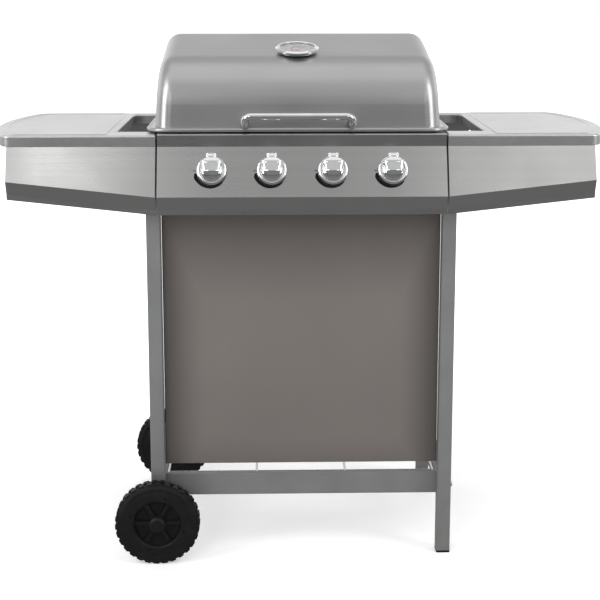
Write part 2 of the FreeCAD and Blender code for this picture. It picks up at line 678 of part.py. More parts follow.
def firebox():
    """Tub with a sloping floor to the drain, a rim on the frame and ledges for the cooking parts."""
    t = SHEET
    y0, y1 = BOX_Y
    d0, d1 = DRAIN_Y
    inner_y = (y0 + t, y1 - t)
    inner_half = BOX_HALF_W - t
    inner_drain = (d0 + t, d1 - t)
    inside = union([
        box((-inner_half, inner_half), inner_y, (BOX_WALL_BOTTOM, BOX_TOP + 1)),
        hopper(inner_half, inner_y, BOX_WALL_BOTTOM, DRAIN_HALF_W - t, inner_drain, DRAIN_Z),
        box((-DRAIN_HALF_W + t, DRAIN_HALF_W - t), inner_drain, (DRAIN_Z - DRAIN_COLLAR - 1, DRAIN_Z))])
    tub = firebox_skin().cut(inside)
    rim = box((-RIM_HALF_W, RIM_HALF_W), RIM_Y, (FRAME_TOP, FRAME_TOP + t))
    rim = rim.cut(box((-inner_half, inner_half), inner_y, (FRAME_TOP - 1, FRAME_TOP + t + 1)))
    pieces = [tub, rim]
    for z in (TAMER_LEDGE_Z, GRATE_LEDGE_Z):
        ledge = box((-inner_half, inner_half), (y0 + t / 2, y1 - t / 2), (z - t, z))
        open_y = (y0 + t + LEDGE_W, y1 - t - LEDGE_W)
        pieces.append(ledge.cut(box((-BOX_HALF_W, BOX_HALF_W), open_y, (z - t - 1, z + 1))))
    for side in (-1, 1):
        x = sorted((side * (BOX_HALF_W - t / 2), side * (BOX_HALF_W - 12)))
        pieces.append(box(x, (y0 + t / 2, y1 - t / 2), (BOX_TOP - t, BOX_TOP)))
    shell = union(pieces)
    holes = []
    for x in KNOB_X:
        holes.append(rod(V(x, y0 - 5, BURNER_Z), V(x, y0 + 5, BURNER_Z), BURNER_R))
        side_x = x + IGNITER_ASIDE
        holes.append(rod(V(side_x, y0 - 5, BURNER_Z), V(side_x, y0 + 5, BURNER_Z), IGNITER_R))
    return shell.cut(Part.makeCompound(holes))


def flame_tamer(x):
    """Roof-shaped sheet over a burner that rests on the lower ledges."""
    foot, ridge = TAMER_LEDGE_Z, TAMER_LEDGE_Z + TAMER_RISE
    path = [(x - TAMER_HALF_W, foot), (x, ridge), (x + TAMER_HALF_W, foot)]
    roof = prism(sheet_section(path, 1.5), "y", BOX_Y[0] + SHEET + 1, BOX_Y[1] - SHEET - 1)
    return roof.common(box((x - 60, x + 60), (0, 400), (TAMER_LEDGE_Z, GRATE_LEDGE_Z)))


def cooking_grate(side):
    """Cast grate: a thick plate with long slots between its bars."""
    x_mid = side * GRATE_MID_X
    low, high = BOX_Y[0] + SHEET + 1, BOX_Y[1] - SHEET - 1
    z = (GRATE_LEDGE_Z, GRATE_LEDGE_Z + GRATE_T)
    plate = box((x_mid - GRATE_HALF_W, x_mid + GRATE_HALF_W), (low, high), z)
    plate = plate.makeFillet(2.0, [e for e in plate.Edges if e.CenterOfMass.z > z[1] - 1e-3])
    middle = (low + high) / 2
    slots = []
    for i in range(-GRATE_SLOTS_ASIDE, GRATE_SLOTS_ASIDE + 1):
        x = x_mid + i * GRATE_BAR_PITCH
        for y0, y1 in ((low + GRATE_BORDER, middle - 4), (middle + 4, high - GRATE_BORDER)):
            outline = [(x - GRATE_SLOT_W / 2, y0, 4), (x + GRATE_SLOT_W / 2, y0, 4),
                       (x + GRATE_SLOT_W / 2, y1, 4), (x - GRATE_SLOT_W / 2, y1, 4)]
            slots.append(prism(outline, "z", z[0] - 1, z[1] + 1))
    return plate.cut(Part.makeCompound(slots))


def warming_rack():
    """Wire shelf that stands on the firebox's side flanges, above the back of the grates."""
    y0, y1 = WARMER_Y
    z = WARMER_Z
    leg_x = BOX_HALF_W - 6
    wires = []
    for y in WARMER_Y:
        post = [V(-leg_x, y, BOX_TOP), V(-leg_x, y, z), V(leg_x, y, z), V(leg_x, y, BOX_TOP)]
        wires.append(swept_rod(post, [12.0, 12.0], 2.5))
    for i in range(WARMER_WIRES):
        x = -WARMER_HALF_W + i * (2 * WARMER_HALF_W / (WARMER_WIRES - 1))
        wires.append(rod(V(x, y0 - 4, z + 2.6), V(x, y1 + 4, z + 2.6), 1.5))
    return union(wires)


def grease_tray():
    """Shallow drip tray with side flanges that ride in the runners and a pull lip at the back."""
    x = (-TRAY_HALF_W, TRAY_HALF_W)
    z = (TRAY_TOP - TRAY_DEPTH, TRAY_TOP)
    skin = box(x, TRAY_Y, z)
    flange = box((x[0] - TRAY_FLANGE, x[1] + TRAY_FLANGE), TRAY_Y, (TRAY_TOP - SHEET, TRAY_TOP))
    lip = box((-30, 30), (TRAY_Y[1] - SHEET, TRAY_Y[1] + 16), (TRAY_TOP - SHEET, TRAY_TOP))
    inner_y = (TRAY_Y[0] + SHEET, TRAY_Y[1] - SHEET)
    inside = box((x[0] + SHEET, x[1] - SHEET), inner_y, (z[0] + SHEET, z[1] + 1))
    return union([skin, flange, lip]).cut(inside)


def tray_runners():
    """Two angle strips under the funnel that carry the grease tray."""
    runners = []
    web_x = TRAY_HALF_W + TRAY_FLANGE + 0.5
    lip_top = TRAY_TOP - SHEET - PART_GAP
    for side in (-1, 1):
        web = box(sorted((side * web_x, side * (web_x + SHEET))), TRAY_Y, (lip_top - SHEET, DRAIN_Z + 12))
        lip = box(sorted((side * (TRAY_HALF_W + 3), side * (web_x + SHEET))), TRAY_Y, (lip_top - SHEET, lip_top))
        runners.append(union([web, lip]).cut(firebox_skin()))
    return Part.makeCompound(runners)


# ---------------------------------------------------------------- side shelves
def shelf_outline(inset, notched):
    """Plan of the right shelf: straight front and back, a bowed outer edge and a cut-out by the lid.

    Without the notch it is the plan of the part that lies outside the cut-out.
    """
    i = inset
    y0, y1 = BROW_Y + i, SHELF_BACK_Y - i
    x_in = (SHELF_IN_X if notched else NOTCH_X) + i
    x_corner = SHELF_CORNER_X - i
    y_mid = (y0 + y1) / 2
    corner = max(16.0 - i, 3.0)
    notch_x = NOTCH_X + i
    notch_y = (NOTCH_Y[0] - i, NOTCH_Y[1] + i)
    notch_r = NOTCH_CORNER + i
    bow = Part.Arc(V(x_corner, y0, 0), V(SHELF_OUT_X - i, y_mid, 0), V(x_corner, y1, 0))
    radius = bow.toShape().Curve.Radius
    centre = bow.toShape().Curve.Center

    def corner_arc(y_edge, sign):
        """Tangent arc between a straight edge and the bow."""
        centre_y = y_edge + sign * corner
        reach = math.sqrt((radius - corner) ** 2 - (centre_y - centre.y) ** 2)
        middle = V(centre.x + reach, centre_y, 0)
        on_edge = V(middle.x, y_edge, 0)
        on_bow = centre + (middle - centre).normalize() * radius
        between = middle + ((on_edge - middle) + (on_bow - middle)).normalize() * corner
        return on_edge, between, on_bow

    front = corner_arc(y0, 1)
    back = corner_arc(y1, -1)
    line = Part.makeLine
    outer = [
        line(V(x_in, y0, 0), front[0]),
        Part.Arc(*front).toShape(),
        Part.Arc(front[2], V(SHELF_OUT_X - i, y_mid, 0), back[2]).toShape(),
        Part.Arc(back[2], back[1], back[0]).toShape(),
        line(back[0], V(x_in, y1, 0))]
    if not notched:
        return Part.Wire(outer + [line(V(x_in, y1, 0), V(x_in, y0, 0))])
    n0, n1 = notch_y
    k = notch_r * (1 - math.sqrt(0.5))
    inner = [
        line(V(x_in, y1, 0), V(x_in, n1, 0)),
        line(V(x_in, n1, 0), V(notch_x - notch_r, n1, 0)),
        Part.Arc(V(notch_x - notch_r, n1, 0), V(notch_x - k, n1 - k, 0), V(notch_x, n1 - notch_r, 0)).toShape(),
        line(V(notch_x, n1 - notch_r, 0), V(notch_x, n0, 0)),
        line(V(notch_x, n0, 0), V(x_in, n0, 0)),
        line(V(x_in, n0, 0), V(x_in, y0, 0))]
    return Part.Wire(outer + inner)


def shelf_slab(inset, low, high, notched=True):
    """Solid with the shelf's plan, smaller all round by the inset."""
    wire = shelf_outline(inset, notched)
    wire.translate(V(0, 0, low))
    return Part.Face(wire).extrude(V(0, 0, high - low))


def side_shelf():
    """Pressed sheet shelf with a skirt all round and a raised bead just inside its edge."""
    bottom = SHELF_TOP - SHELF_SKIRT
    skin = shelf_slab(0.0, bottom, SHELF_TOP)
    skin = skin.makeFillet(3.5, [e for e in skin.Edges if e.CenterOfMass.z > SHELF_TOP - 1e-3])
    shell = skin.cut(shelf_slab(SHEET, bottom - 1, SHELF_TOP - SHEET))
    bead = shelf_slab(BEAD_INSET, SHELF_TOP - SHEET / 2, SHELF_TOP + BEAD_H, False)
    bead = bead.cut(shelf_slab(BEAD_INSET + BEAD_W, SHELF_TOP - SHEET, SHELF_TOP + BEAD_H + 1, False))
    bead = bead.makeFillet(BEAD_H * 0.8, [e for e in bead.Edges if e.CenterOfMass.z > SHELF_TOP + BEAD_H - 1e-3])
    return union([shell, bead])


def fascia_path(rise):
    """Outer skin of a shelf's front fascia; its lower edge is higher by the rise."""
    y_top = BROW_Y + SHEET
    slope = math.tan(FACE_LEAN)
    fold_z = FOLD_Z + rise
    fold_y = y_top - (FASCIA_TOP - fold_z) * slope
    lip_y = fold_y + (LIP_Y - FOLD_Y)
    lip_z = LIP_Z + rise
    bottom = CONSOLE_BOTTOM + rise
    return [(y_top, FASCIA_TOP + FASCIA_TOP_LAP), (y_top, FASCIA_TOP), (fold_y, fold_z), (lip_y, lip_z),
            (lip_y, bottom), (lip_y + LIP_RETURN, bottom)]


def shelf_fascia():
    """Folded front of the right shelf, which tapers towards its outer end."""
    sections = []
    for x, rise in ((SHELF_IN_X, 0.0), (FASCIA_END_X, FASCIA_RISE)):
        sections.append(rounded_wire(sheet_section(fascia_path(rise), 1.6), place_on("x", x)))
    skin = Part.makeLoft(sections, True, True)
    plate = end_plate(fascia_path(FASCIA_RISE), BROW_Y + 14.0, FASCIA_END_X - SHEET, FASCIA_END_X)
    reliefs = []
    for x in ((SHELF_IN_X - 1, SHELF_IN_X + SHEET), (SHELF_CORNER_X - 20, SHELF_CORNER_X)):
        reliefs.append(box(x, (BROW_Y - 10, 0), (FASCIA_TOP, CONSOLE_TOP)))
    return union([skin, plate]).cut(Part.makeCompound(reliefs))


def shelf_bracket(rear):
    """Triangular gusset from a right-hand leg to the underside of the shelf."""
    top = SHELF_TOP - SHEET
    foot = top - BRACKET_DROP
    x0 = CART_HALF_W
    x1 = x0 + BRACKET_REACH
    y = BRACKET_Y[1] if rear else BRACKET_Y[0]
    y_back = y + BRACKET_T
    web = prism([(x0, foot, 0), (x1, top - 6, 0), (x1, top, 0), (x0, top, 0)], "y", y, y_back)
    top_flange = box((x0, x1), (y - 11, y_back), (top - BRACKET_T, top))
    leg_flange = box((x0, x0 + BRACKET_T), (y, y + 11.0), (foot, FRAME_TOP - 2))
    return union([web, top_flange, leg_flange])


# ---------------------------------------------------------------- lid
def lid_top(y):
    """Height of the lid's sloping top line."""
    return LID_TOP_AT_GAUGE + (y - GAUGE_Y) * math.tan(LID_SLOPE)


def lid_section(inset):
    """Cross-section of the dome, smaller by the inset, carried on below the rim."""
    path = [LID_FOOT, (LID_KNEE_Y, lid_top(LID_KNEE_Y)), (LID_RIDGE_Y, lid_top(LID_RIDGE_Y)),
            (LID_BACK_Y, LID_BACK_CORNER_Z), (LID_BACK_Y, LID_FOOT[1])]
    radii = (0,) + LID_CORNER_R + (0,)
    moved = offset_path(path, -inset)
    return [(u, v, max(r - inset, 0)) for (u, v), r in zip(moved, radii)]


def dome(inset, bottom):
    """Filled dome with leaning end walls and rounded end edges."""
    half = LID_HALF_W - inset
    lean = math.tan(math.radians(LID_DRAFT_DEG))
    reach = LID_HALF_W + 40
    body = prism(lid_section(inset), "x", -reach, reach)
    height = 250.0
    z0 = LID_FOOT[1]
    z1 = z0 + height
    ends = []
    for side in (-1, 1):
        inner_low = side * (half + lean * LID_RUN_DOWN)
        inner_high = side * (half - lean * (height - LID_RUN_DOWN))
        corners = [(inner_low, z0, 0), (inner_high, z1, 0), (side * (reach + 5), z1, 0), (side * (reach + 5), z0, 0)]
        ends.append(prism(corners, "y", -40, LID_BACK_Y + 40))
    body = body.cut(Part.makeCompound(ends))
    end_faces = [f for f in body.Faces if abs(f.normalAt(0, 0).x) > 0.9]
    edges = [e for f in end_faces for e in f.Edges if e.BoundBox.ZMax > bottom]
    body = body.makeFillet(LID_END_R - inset, edges)
    keep = box((-reach, reach), (-60, LID_BACK_Y + 60), (bottom, 1100))
    return body.common(keep)


def rim_path():
    """Open centre-line of the rim's rolled edge: left side, front and right side."""
    x = LID_HALF_W + LID_RIM_SIDE - LID_BEAD_R
    y_front = LID_BEAD_R - LID_RIM_FRONT
    r = LID_RIM_CORNER
    k = r * (1 - math.sqrt(0.5))
    z = LID_BOTTOM + LID_BEAD_R
    y_end = LID_BACK_Y - 2
    return [Part.makeLine(V(-x, y_end, z), V(-x, y_front + r, z)),
            Part.Arc(V(-x, y_front + r, z), V(-x + k, y_front + k, z), V(-x + r, y_front, z)).toShape(),
            Part.makeLine(V(-x + r, y_front, z), V(x - r, y_front, z)),
            Part.Arc(V(x - r, y_front, z), V(x - k, y_front + k, z), V(x, y_front + r, z)).toShape(),
            Part.makeLine(V(x, y_front + r, z), V(x, y_end, z))]


def lid_shell():
    """Drawn steel lid: a dome with a flat rim and a rolled edge on three sides."""
    shell = dome(0.0, LID_BASE).cut(dome(LID_WALL, LID_BASE - 1))
    path = Part.Wire(rim_path())
    start = path.Edges[0].Vertexes[0].Point
    section = Part.Wire(Part.makeCircle(LID_BEAD_R, start, Y_AXIS))
    bead = path.makePipeShell([section], True, True)
    ends = [path.Edges[0].Vertexes[0].Point, path.Edges[-1].Vertexes[-1].Point]
    outline = Part.Wire(path.Edges + [Part.makeLine(ends[1], ends[0])])
    outline.translate(V(0, 0, LID_BASE - outline.BoundBox.ZMin))
    plate = Part.Face(outline).extrude(V(0, 0, LID_WALL))
    plate = plate.cut(dome(LID_WALL, LID_BASE - 1))
    shell = union([shell, plate, bead])
    for side in (-1, 1):
        x = side * (HANDLE_HALF - 1)
        hole = rod(V(x, -10, HANDLE_FOOT[1]), V(x, 12, HANDLE_FOOT[1]), HANDLE_SCREW_R)
        shell = shell.cut(hole)
    gauge_hole = stand(Part.makeCylinder(5.0, 20, V(0, 0, -10)), V(0, GAUGE_Y, LID_TOP_AT_GAUGE), GAUGE_OUT)
    shell = shell.cut(gauge_hole)
    shell.translate(V(LID_OFFSET_X, 0, 0))
    return shell


def lid_handle():
    """Bent chrome bar across the lower front of the lid."""
    x = HANDLE_HALF - 1.0
    (y0, z0), (y1, z1), (y2, z2) = HANDLE_FOOT, HANDLE_KNEE, HANDLE_BAR
    points = [V(-x, y0, z0), V(-x, y1, z1), V(-x, y2, z2), V(x, y2, z2), V(x, y1, z1), V(x, y0, z0)]
    bar = swept_rod(points, [9.0, 11.0, 11.0, 9.0], HANDLE_R)
    for side in (-1, 1):
        bar = bar.cut(rod(V(side * x, y0 + 1, z0), V(side * x, y0 - 9, z0), HANDLE_SCREW_R))
    bar.translate(V(LID_OFFSET_X, 0, 0))
    return bar


def handle_spacers():
    """Black heat-proof sleeves between the handle's feet and the lid."""
    lid_front = dome(0.0, LID_BASE)
    lid_front.translate(V(LID_OFFSET_X, 0, 0))
    sleeves = []
    for side in (-1, 1):
        x = LID_OFFSET_X + side * (HANDLE_HALF - 1)
        y, z = HANDLE_FOOT
        sleeve = rod(V(x, y, z), V(x, 5, z), SPACER_R)
        bore = rod(V(x, y - 1, z), V(x, 6, z), HANDLE_SCREW_R)
        sleeves.append(sleeve.cut(bore).cut(lid_front))
    return Part.makeCompound(sleeves)


def handle_screws():
    """Screws through the lid and the sleeves into the ends of the handle."""
    screws = []
    for side in (-1, 1):
        x = LID_OFFSET_X + side * (HANDLE_HALF - 1)
        z = HANDLE_FOOT[1]
        shank = rod(V(x, HANDLE_FOOT[0] - 9, z), V(x, 6.0, z), HANDLE_SCREW_R)
        head = rod(V(x, 3.2, z), V(x, 7.2, z), HANDLE_SCREW_HEAD_R)
        screws.append(union([shank, head]))
    return Part.makeCompound(screws)


def thermometer_parts():
    """Case, bezel, dial, glass, probe and needle of the lid thermometer."""
    r = GAUGE_CASE_R
    case = turned([(PROBE_R, 1.4), (r - 4, 1.4), (r, 2.6), (r, 8.5), (r - 1.2, 8.5), (r - 1.2, 3.8), (PROBE_R, 3.8)],
                  GAUGE_AT, GAUGE_OUT)
    bezel = turned([(r, 5.0), (r + 2.5, 5.0), (GAUGE_R, 6.6), (GAUGE_R, 8.6), (r + 1.8, GAUGE_H), (r - 1.0, GAUGE_H),
                    (r - 2.8, 10.0), (r - 2.8, 9.7), (r, 9.7)], GAUGE_AT, GAUGE_OUT)
    dial = turned([(1.2, 4.2), (r - 1.6, 4.2), (r - 1.6, 5.0), (1.2, 5.0)], GAUGE_AT, GAUGE_OUT)
    glass = turned([(0, 8.5), (r, 8.5), (r, 9.7), (0, 9.7)], GAUGE_AT, GAUGE_OUT)
    probe = turned([(0, -PROBE_LENGTH), (PROBE_R, -PROBE_LENGTH), (PROBE_R, -9), (8, -9), (8, -3.0), (4.9, -3.0),
                    (4.9, 1.4), (PROBE_R, 1.4), (PROBE_R, 4.0), (1.0, 4.0), (1.0, 7.2), (0, 7.2)],
                   GAUGE_AT, GAUGE_OUT)
    hub = turned([(1.0 + RUN_GAP, 5.6), (3.2, 5.6), (3.2, 6.8), (1.0 + RUN_GAP, 6.8)])
    pointer = prism([(-1.6, -9, 0.6), (1.6, -9, 0.6), (0.5, 24, 0.2), (-0.5, 24, 0.2)], "z", 5.8, 6.5)
    pointer = pointer.cut(Part.makeCylinder(1.5, 4, V(0, 0, 4.5)))
    needle = union([hub, pointer])
    needle.rotate(V(), Z_AXIS, 118)
    needle = stand(needle, GAUGE_AT, GAUGE_OUT)
    return {"thermometer_case": case, "thermometer_bezel": bezel, "thermometer_dial": dial,
            "thermometer_glass": glass, "thermometer_probe": probe, "thermometer_needle": needle}


def lid_hinge_ears():
    """Pair of plates on the back of the lid that turn on the hinge pins."""
    ears = []
    for side in (-1, 1):
        x = side * HINGE_X + LID_OFFSET_X
        corners = [(LID_BACK_Y, HINGE_Z - 1, 0), (HINGE_Y - 4, HINGE_Z - 7, 3), (HINGE_Y + 7, HINGE_Z - 7, 6),
                   (HINGE_Y + 7, HINGE_Z + 7, 6), (LID_BACK_Y, HINGE_Z + 42, 0)]
        ear = prism(corners, "x", x - EAR_T / 2, x + EAR_T / 2)
        pad = box((x - 13, x + 13), (LID_BACK_Y, LID_BACK_Y + 1.5), (HINGE_Z, HINGE_Z + 42))
        hole = rod(V(x - 5, HINGE_Y, HINGE_Z), V(x + 5, HINGE_Y, HINGE_Z), HINGE_PIN_R + RUN_GAP)
        ears.append(union([ear, pad]).cut(hole))
    return Part.makeCompound(ears)


def hinge_brackets():
    """Forked brackets on the upper rear rail."""
    brackets = []
    for side in (-1, 1):
        x = side * HINGE_X
        width = HINGE_GAP_HALF + CHEEK_T
        base = box((x - width, x + width), (REAR_LEG_Y + 3, CART_DEPTH), (FRAME_TOP, FRAME_TOP + CHEEK_T))
        pieces = [base]
        for cheek in (-1, 1):
            inner = x + cheek * HINGE_GAP_HALF
            outer = inner + cheek * CHEEK_T
            corners = [(HINGE_Y - 10, FRAME_TOP, 0), (HINGE_Y + 7, FRAME_TOP, 0), (HINGE_Y + 7, HINGE_Z + 7, 6),
                       (HINGE_Y - 8, HINGE_Z + 7, 6)]
            pieces.append(prism(corners, "x", *sorted((inner, outer))))
        pin_hole = rod(V(x - 20, HINGE_Y, HINGE_Z), V(x + 20, HINGE_Y, HINGE_Z), HINGE_PIN_R)
        brackets.append(union(pieces).cut(pin_hole))
    return Part.makeCompound(brackets)


def hinge_pins():
    """Headed pins through the brackets and the lid's ears."""
    pins = []
    for side in (-1, 1):
        x = side * HINGE_X
        width = HINGE_GAP_HALF + CHEEK_T
        shank = rod(V(x - width - 3, HINGE_Y, HINGE_Z), V(x + width, HINGE_Y, HINGE_Z), HINGE_PIN_R)
        head = rod(V(x + width, HINGE_Y, HINGE_Z), V(x + width + 3, HINGE_Y, HINGE_Z), HINGE_PIN_HEAD_R)
        pins.append(union([shank, head]))
    return Part.makeCompound(pins)


def lid_bumpers():
    """Rubber pads under the front of the lid's rim that land on the control panel."""
    pads = []
    for side in (-1, 1):
        x = LID_OFFSET_X + side * BUMPER_X
        pads.append(rod(V(x, BUMPER_Y, CONSOLE_TOP + LID_CLEAR), V(x, BUMPER_Y, LID_BASE), BUMPER_R))
    return Part.makeCompound(pads)


# ---------------------------------------------------------------- fasteners
def round_head(at, out, radius, height):
    """Low domed screw head on a face."""
    head = Part.makeCylinder(radius, height, at, out)
    outer = [e for e in head.Edges if len(e.Vertexes) == 1 and (e.CenterOfMass - at).Length > height / 2]
    return head.makeFillet(height * 0.6, outer)


def frame_bolts():
    """Bolt heads on the outer side faces of the legs, at the lower rails and the shelf brackets."""
    heads = []
    for side in (-1, 1):
        out = V(side, 0, 0)
        for y in (LEG / 2, REAR_LEG_Y + LEG / 2):
            heads.append(round_head(V(side * CART_HALF_W, y, RAIL_Z + RAIL_H / 2), out, *RAIL_BOLT))
        for y in BRACKET_BOLT_Y:
            for z in BRACKET_BOLT_Z:
                heads.append(round_head(V(side * (CART_HALF_W + BRACKET_T), y, z), out, *BRACKET_BOLT))
    return Part.makeCompound(heads)


def panel_screws():
    """Pan-head screws through the side flanges of the front panel into the legs."""
    heads = []
    for side in (-1, 1):
        for z in PANEL_SCREW_Z:
            at = V(side * (PANEL_HALF_W - SHEET), FRONT_PANEL_Y + 9.0, z)
            heads.append(round_head(at, V(-side, 0, 0), *PANEL_SCREW))
    return Part.makeCompound(heads)


# ---------------------------------------------------------------- the whole grill
def build_all():
    """Every node of the grill by name."""
    parts = {}
    for side, side_name in ((-1, "left"), (1, "right")):
        parts["leg_front_" + side_name] = leg(side, False)
        parts["leg_rear_" + side_name] = leg(side, True)
    plugs = [leg_plug(side, rear) for side in (-1, 1) for rear in (False, True)]
    parts["leg_plugs"] = Part.makeCompound(plugs)
    parts["bottom_rail_front"] = lower_cross_rail(RAIL_FRONT_Y)
    parts["bottom_rail_rear"] = lower_cross_rail(REAR_RAIL_Y)
    parts["bottom_side_rails"] = side_rails(RAIL_Z + (RAIL_H - LEG) / 2)
    parts["top_side_rails"] = side_rails(FRAME_TOP - LEG)
    parts["top_rail_rear"] = upper_rear_rail()
    parts["front_panel"] = front_panel()
    parts["bottom_rack"] = bottom_rack()
    parts["axle"] = axle()
    parts["axle_caps"] = axle_caps()
    parts["axle_spacers"] = axle_spacers()
    parts["wheel_front"] = wheel(False)
    parts["wheel_rear"] = wheel(True)
    parts["control_panel"] = control_panel()
    parts["knob_bezels"] = knob_bezels()
    parts["gas_manifold"] = gas_manifold()
    parts["gas_inlet"] = gas_inlet()
    for i, x in enumerate(KNOB_X, start=1):
        parts["knob_" + str(i)] = knob(x)
        parts["valve_stem_" + str(i)] = valve_stem(x)
    for name, maker in (("gas_valves", gas_valve), ("burners", burner), ("igniters", igniter),
                        ("flame_tamers", flame_tamer)):
        parts[name] = Part.makeCompound([maker(x) for x in KNOB_X])
    parts["firebox"] = firebox()
    parts["cooking_grates"] = Part.makeCompound([cooking_grate(side) for side in (-1, 1)])
    parts["warming_rack"] = warming_rack()
    parts["grease_tray"] = grease_tray()
    parts["tray_runners"] = tray_runners()
    shelf = side_shelf()
    fascia = shelf_fascia()
    parts["side_shelf_right"] = shelf
    parts["side_shelf_left"] = mirrored(shelf)
    parts["fascia_right"] = fascia
    parts["fascia_left"] = mirrored(fascia)
    brackets = [shelf_bracket(rear) for rear in (False, True)]
    parts["shelf_brackets"] = Part.makeCompound(brackets + [mirrored(b) for b in brackets])
    parts["lid_shell"] = lid_shell()
    parts["lid_handle"] = lid_handle()
    parts["handle_spacers"] = handle_spacers()
    parts["handle_screws"] = handle_screws()
    parts.update(thermometer_parts())
    parts["lid_hinge_ears"] = lid_hinge_ears()
    parts["lid_bumpers"] = lid_bumpers()
    parts["hinge_brackets"] = hinge_brackets()
    parts["hinge_pins"] = hinge_pins()
    parts["frame_bolts"] = frame_bolts()
    parts["panel_screws"] = panel_screws()
    return parts


def main():
    parts = build_all()
    whole = FreeCAD.BoundBox()
    for shape in parts.values():
        whole.add(shape.optimalBoundingBox(False, False))
    shift = -(whole.YMin + whole.YMax) / 2
    os.makedirs("parts", exist_ok=True)
    for name, shape in parts.items():
        solids = shape.Solids
        moved = solids[0].copy() if len(solids) == 1 else Part.makeCompound(solids)
        moved.translate(V(0, shift, 0))
        if not moved.isValid():
            print("not valid:", name)
        moved.exportStep(os.path.join("parts", name + ".step"))
        print(name, len(solids), round(moved.Volume))
    print("nodes", len(parts), "shift", round(shift, 4), whole)


main()
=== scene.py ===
import json
import math

import bmesh
import bpy
from mathutils import Matrix, Vector


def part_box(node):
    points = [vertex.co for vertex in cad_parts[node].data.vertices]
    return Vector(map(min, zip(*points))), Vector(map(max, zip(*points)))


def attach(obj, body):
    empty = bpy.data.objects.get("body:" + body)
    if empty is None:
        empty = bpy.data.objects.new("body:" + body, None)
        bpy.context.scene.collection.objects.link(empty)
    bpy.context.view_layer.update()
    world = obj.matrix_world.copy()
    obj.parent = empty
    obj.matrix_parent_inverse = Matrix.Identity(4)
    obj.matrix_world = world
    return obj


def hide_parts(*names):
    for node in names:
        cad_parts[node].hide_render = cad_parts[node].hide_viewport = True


# Looks of a gas barbecue grill on a two-wheeled cart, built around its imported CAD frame.
# Metres, +Z up, the front faces -Y. Small sizes are written in millimetres times MM.

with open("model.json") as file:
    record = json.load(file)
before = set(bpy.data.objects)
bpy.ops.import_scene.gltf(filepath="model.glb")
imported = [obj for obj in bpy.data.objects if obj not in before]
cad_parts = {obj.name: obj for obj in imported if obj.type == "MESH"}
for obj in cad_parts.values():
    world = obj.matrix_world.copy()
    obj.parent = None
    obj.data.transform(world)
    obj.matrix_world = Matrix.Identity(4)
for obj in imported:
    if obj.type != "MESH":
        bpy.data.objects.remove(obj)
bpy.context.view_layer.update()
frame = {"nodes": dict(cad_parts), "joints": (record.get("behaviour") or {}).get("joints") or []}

MM = 0.001
NODES = frame["nodes"]
JOINTS = {joint["name"]: joint for joint in frame["joints"]}

# ---------------------------------------------------------------- camera and room
CAMERA_AT = (-0.055, -2.354, 1.040)
CAMERA_PITCH = 10.255          # degrees below the horizon
CAMERA_TURN = 1.355            # degrees to the right of straight ahead
CAMERA_LENS = 76.8             # millimetres
SENSOR_WIDTH = 36.0            # millimetres
CAMERA_SHIFT = -0.15           # share of the picture's width
FLOOR_RADIUS = 30.0

KNOBS = (1, 2, 3, 4)
PANEL_HALF_WIDTH = 0.247       # front panel
PANEL_FOOT = 0.169
PANEL_TOP = 0.636


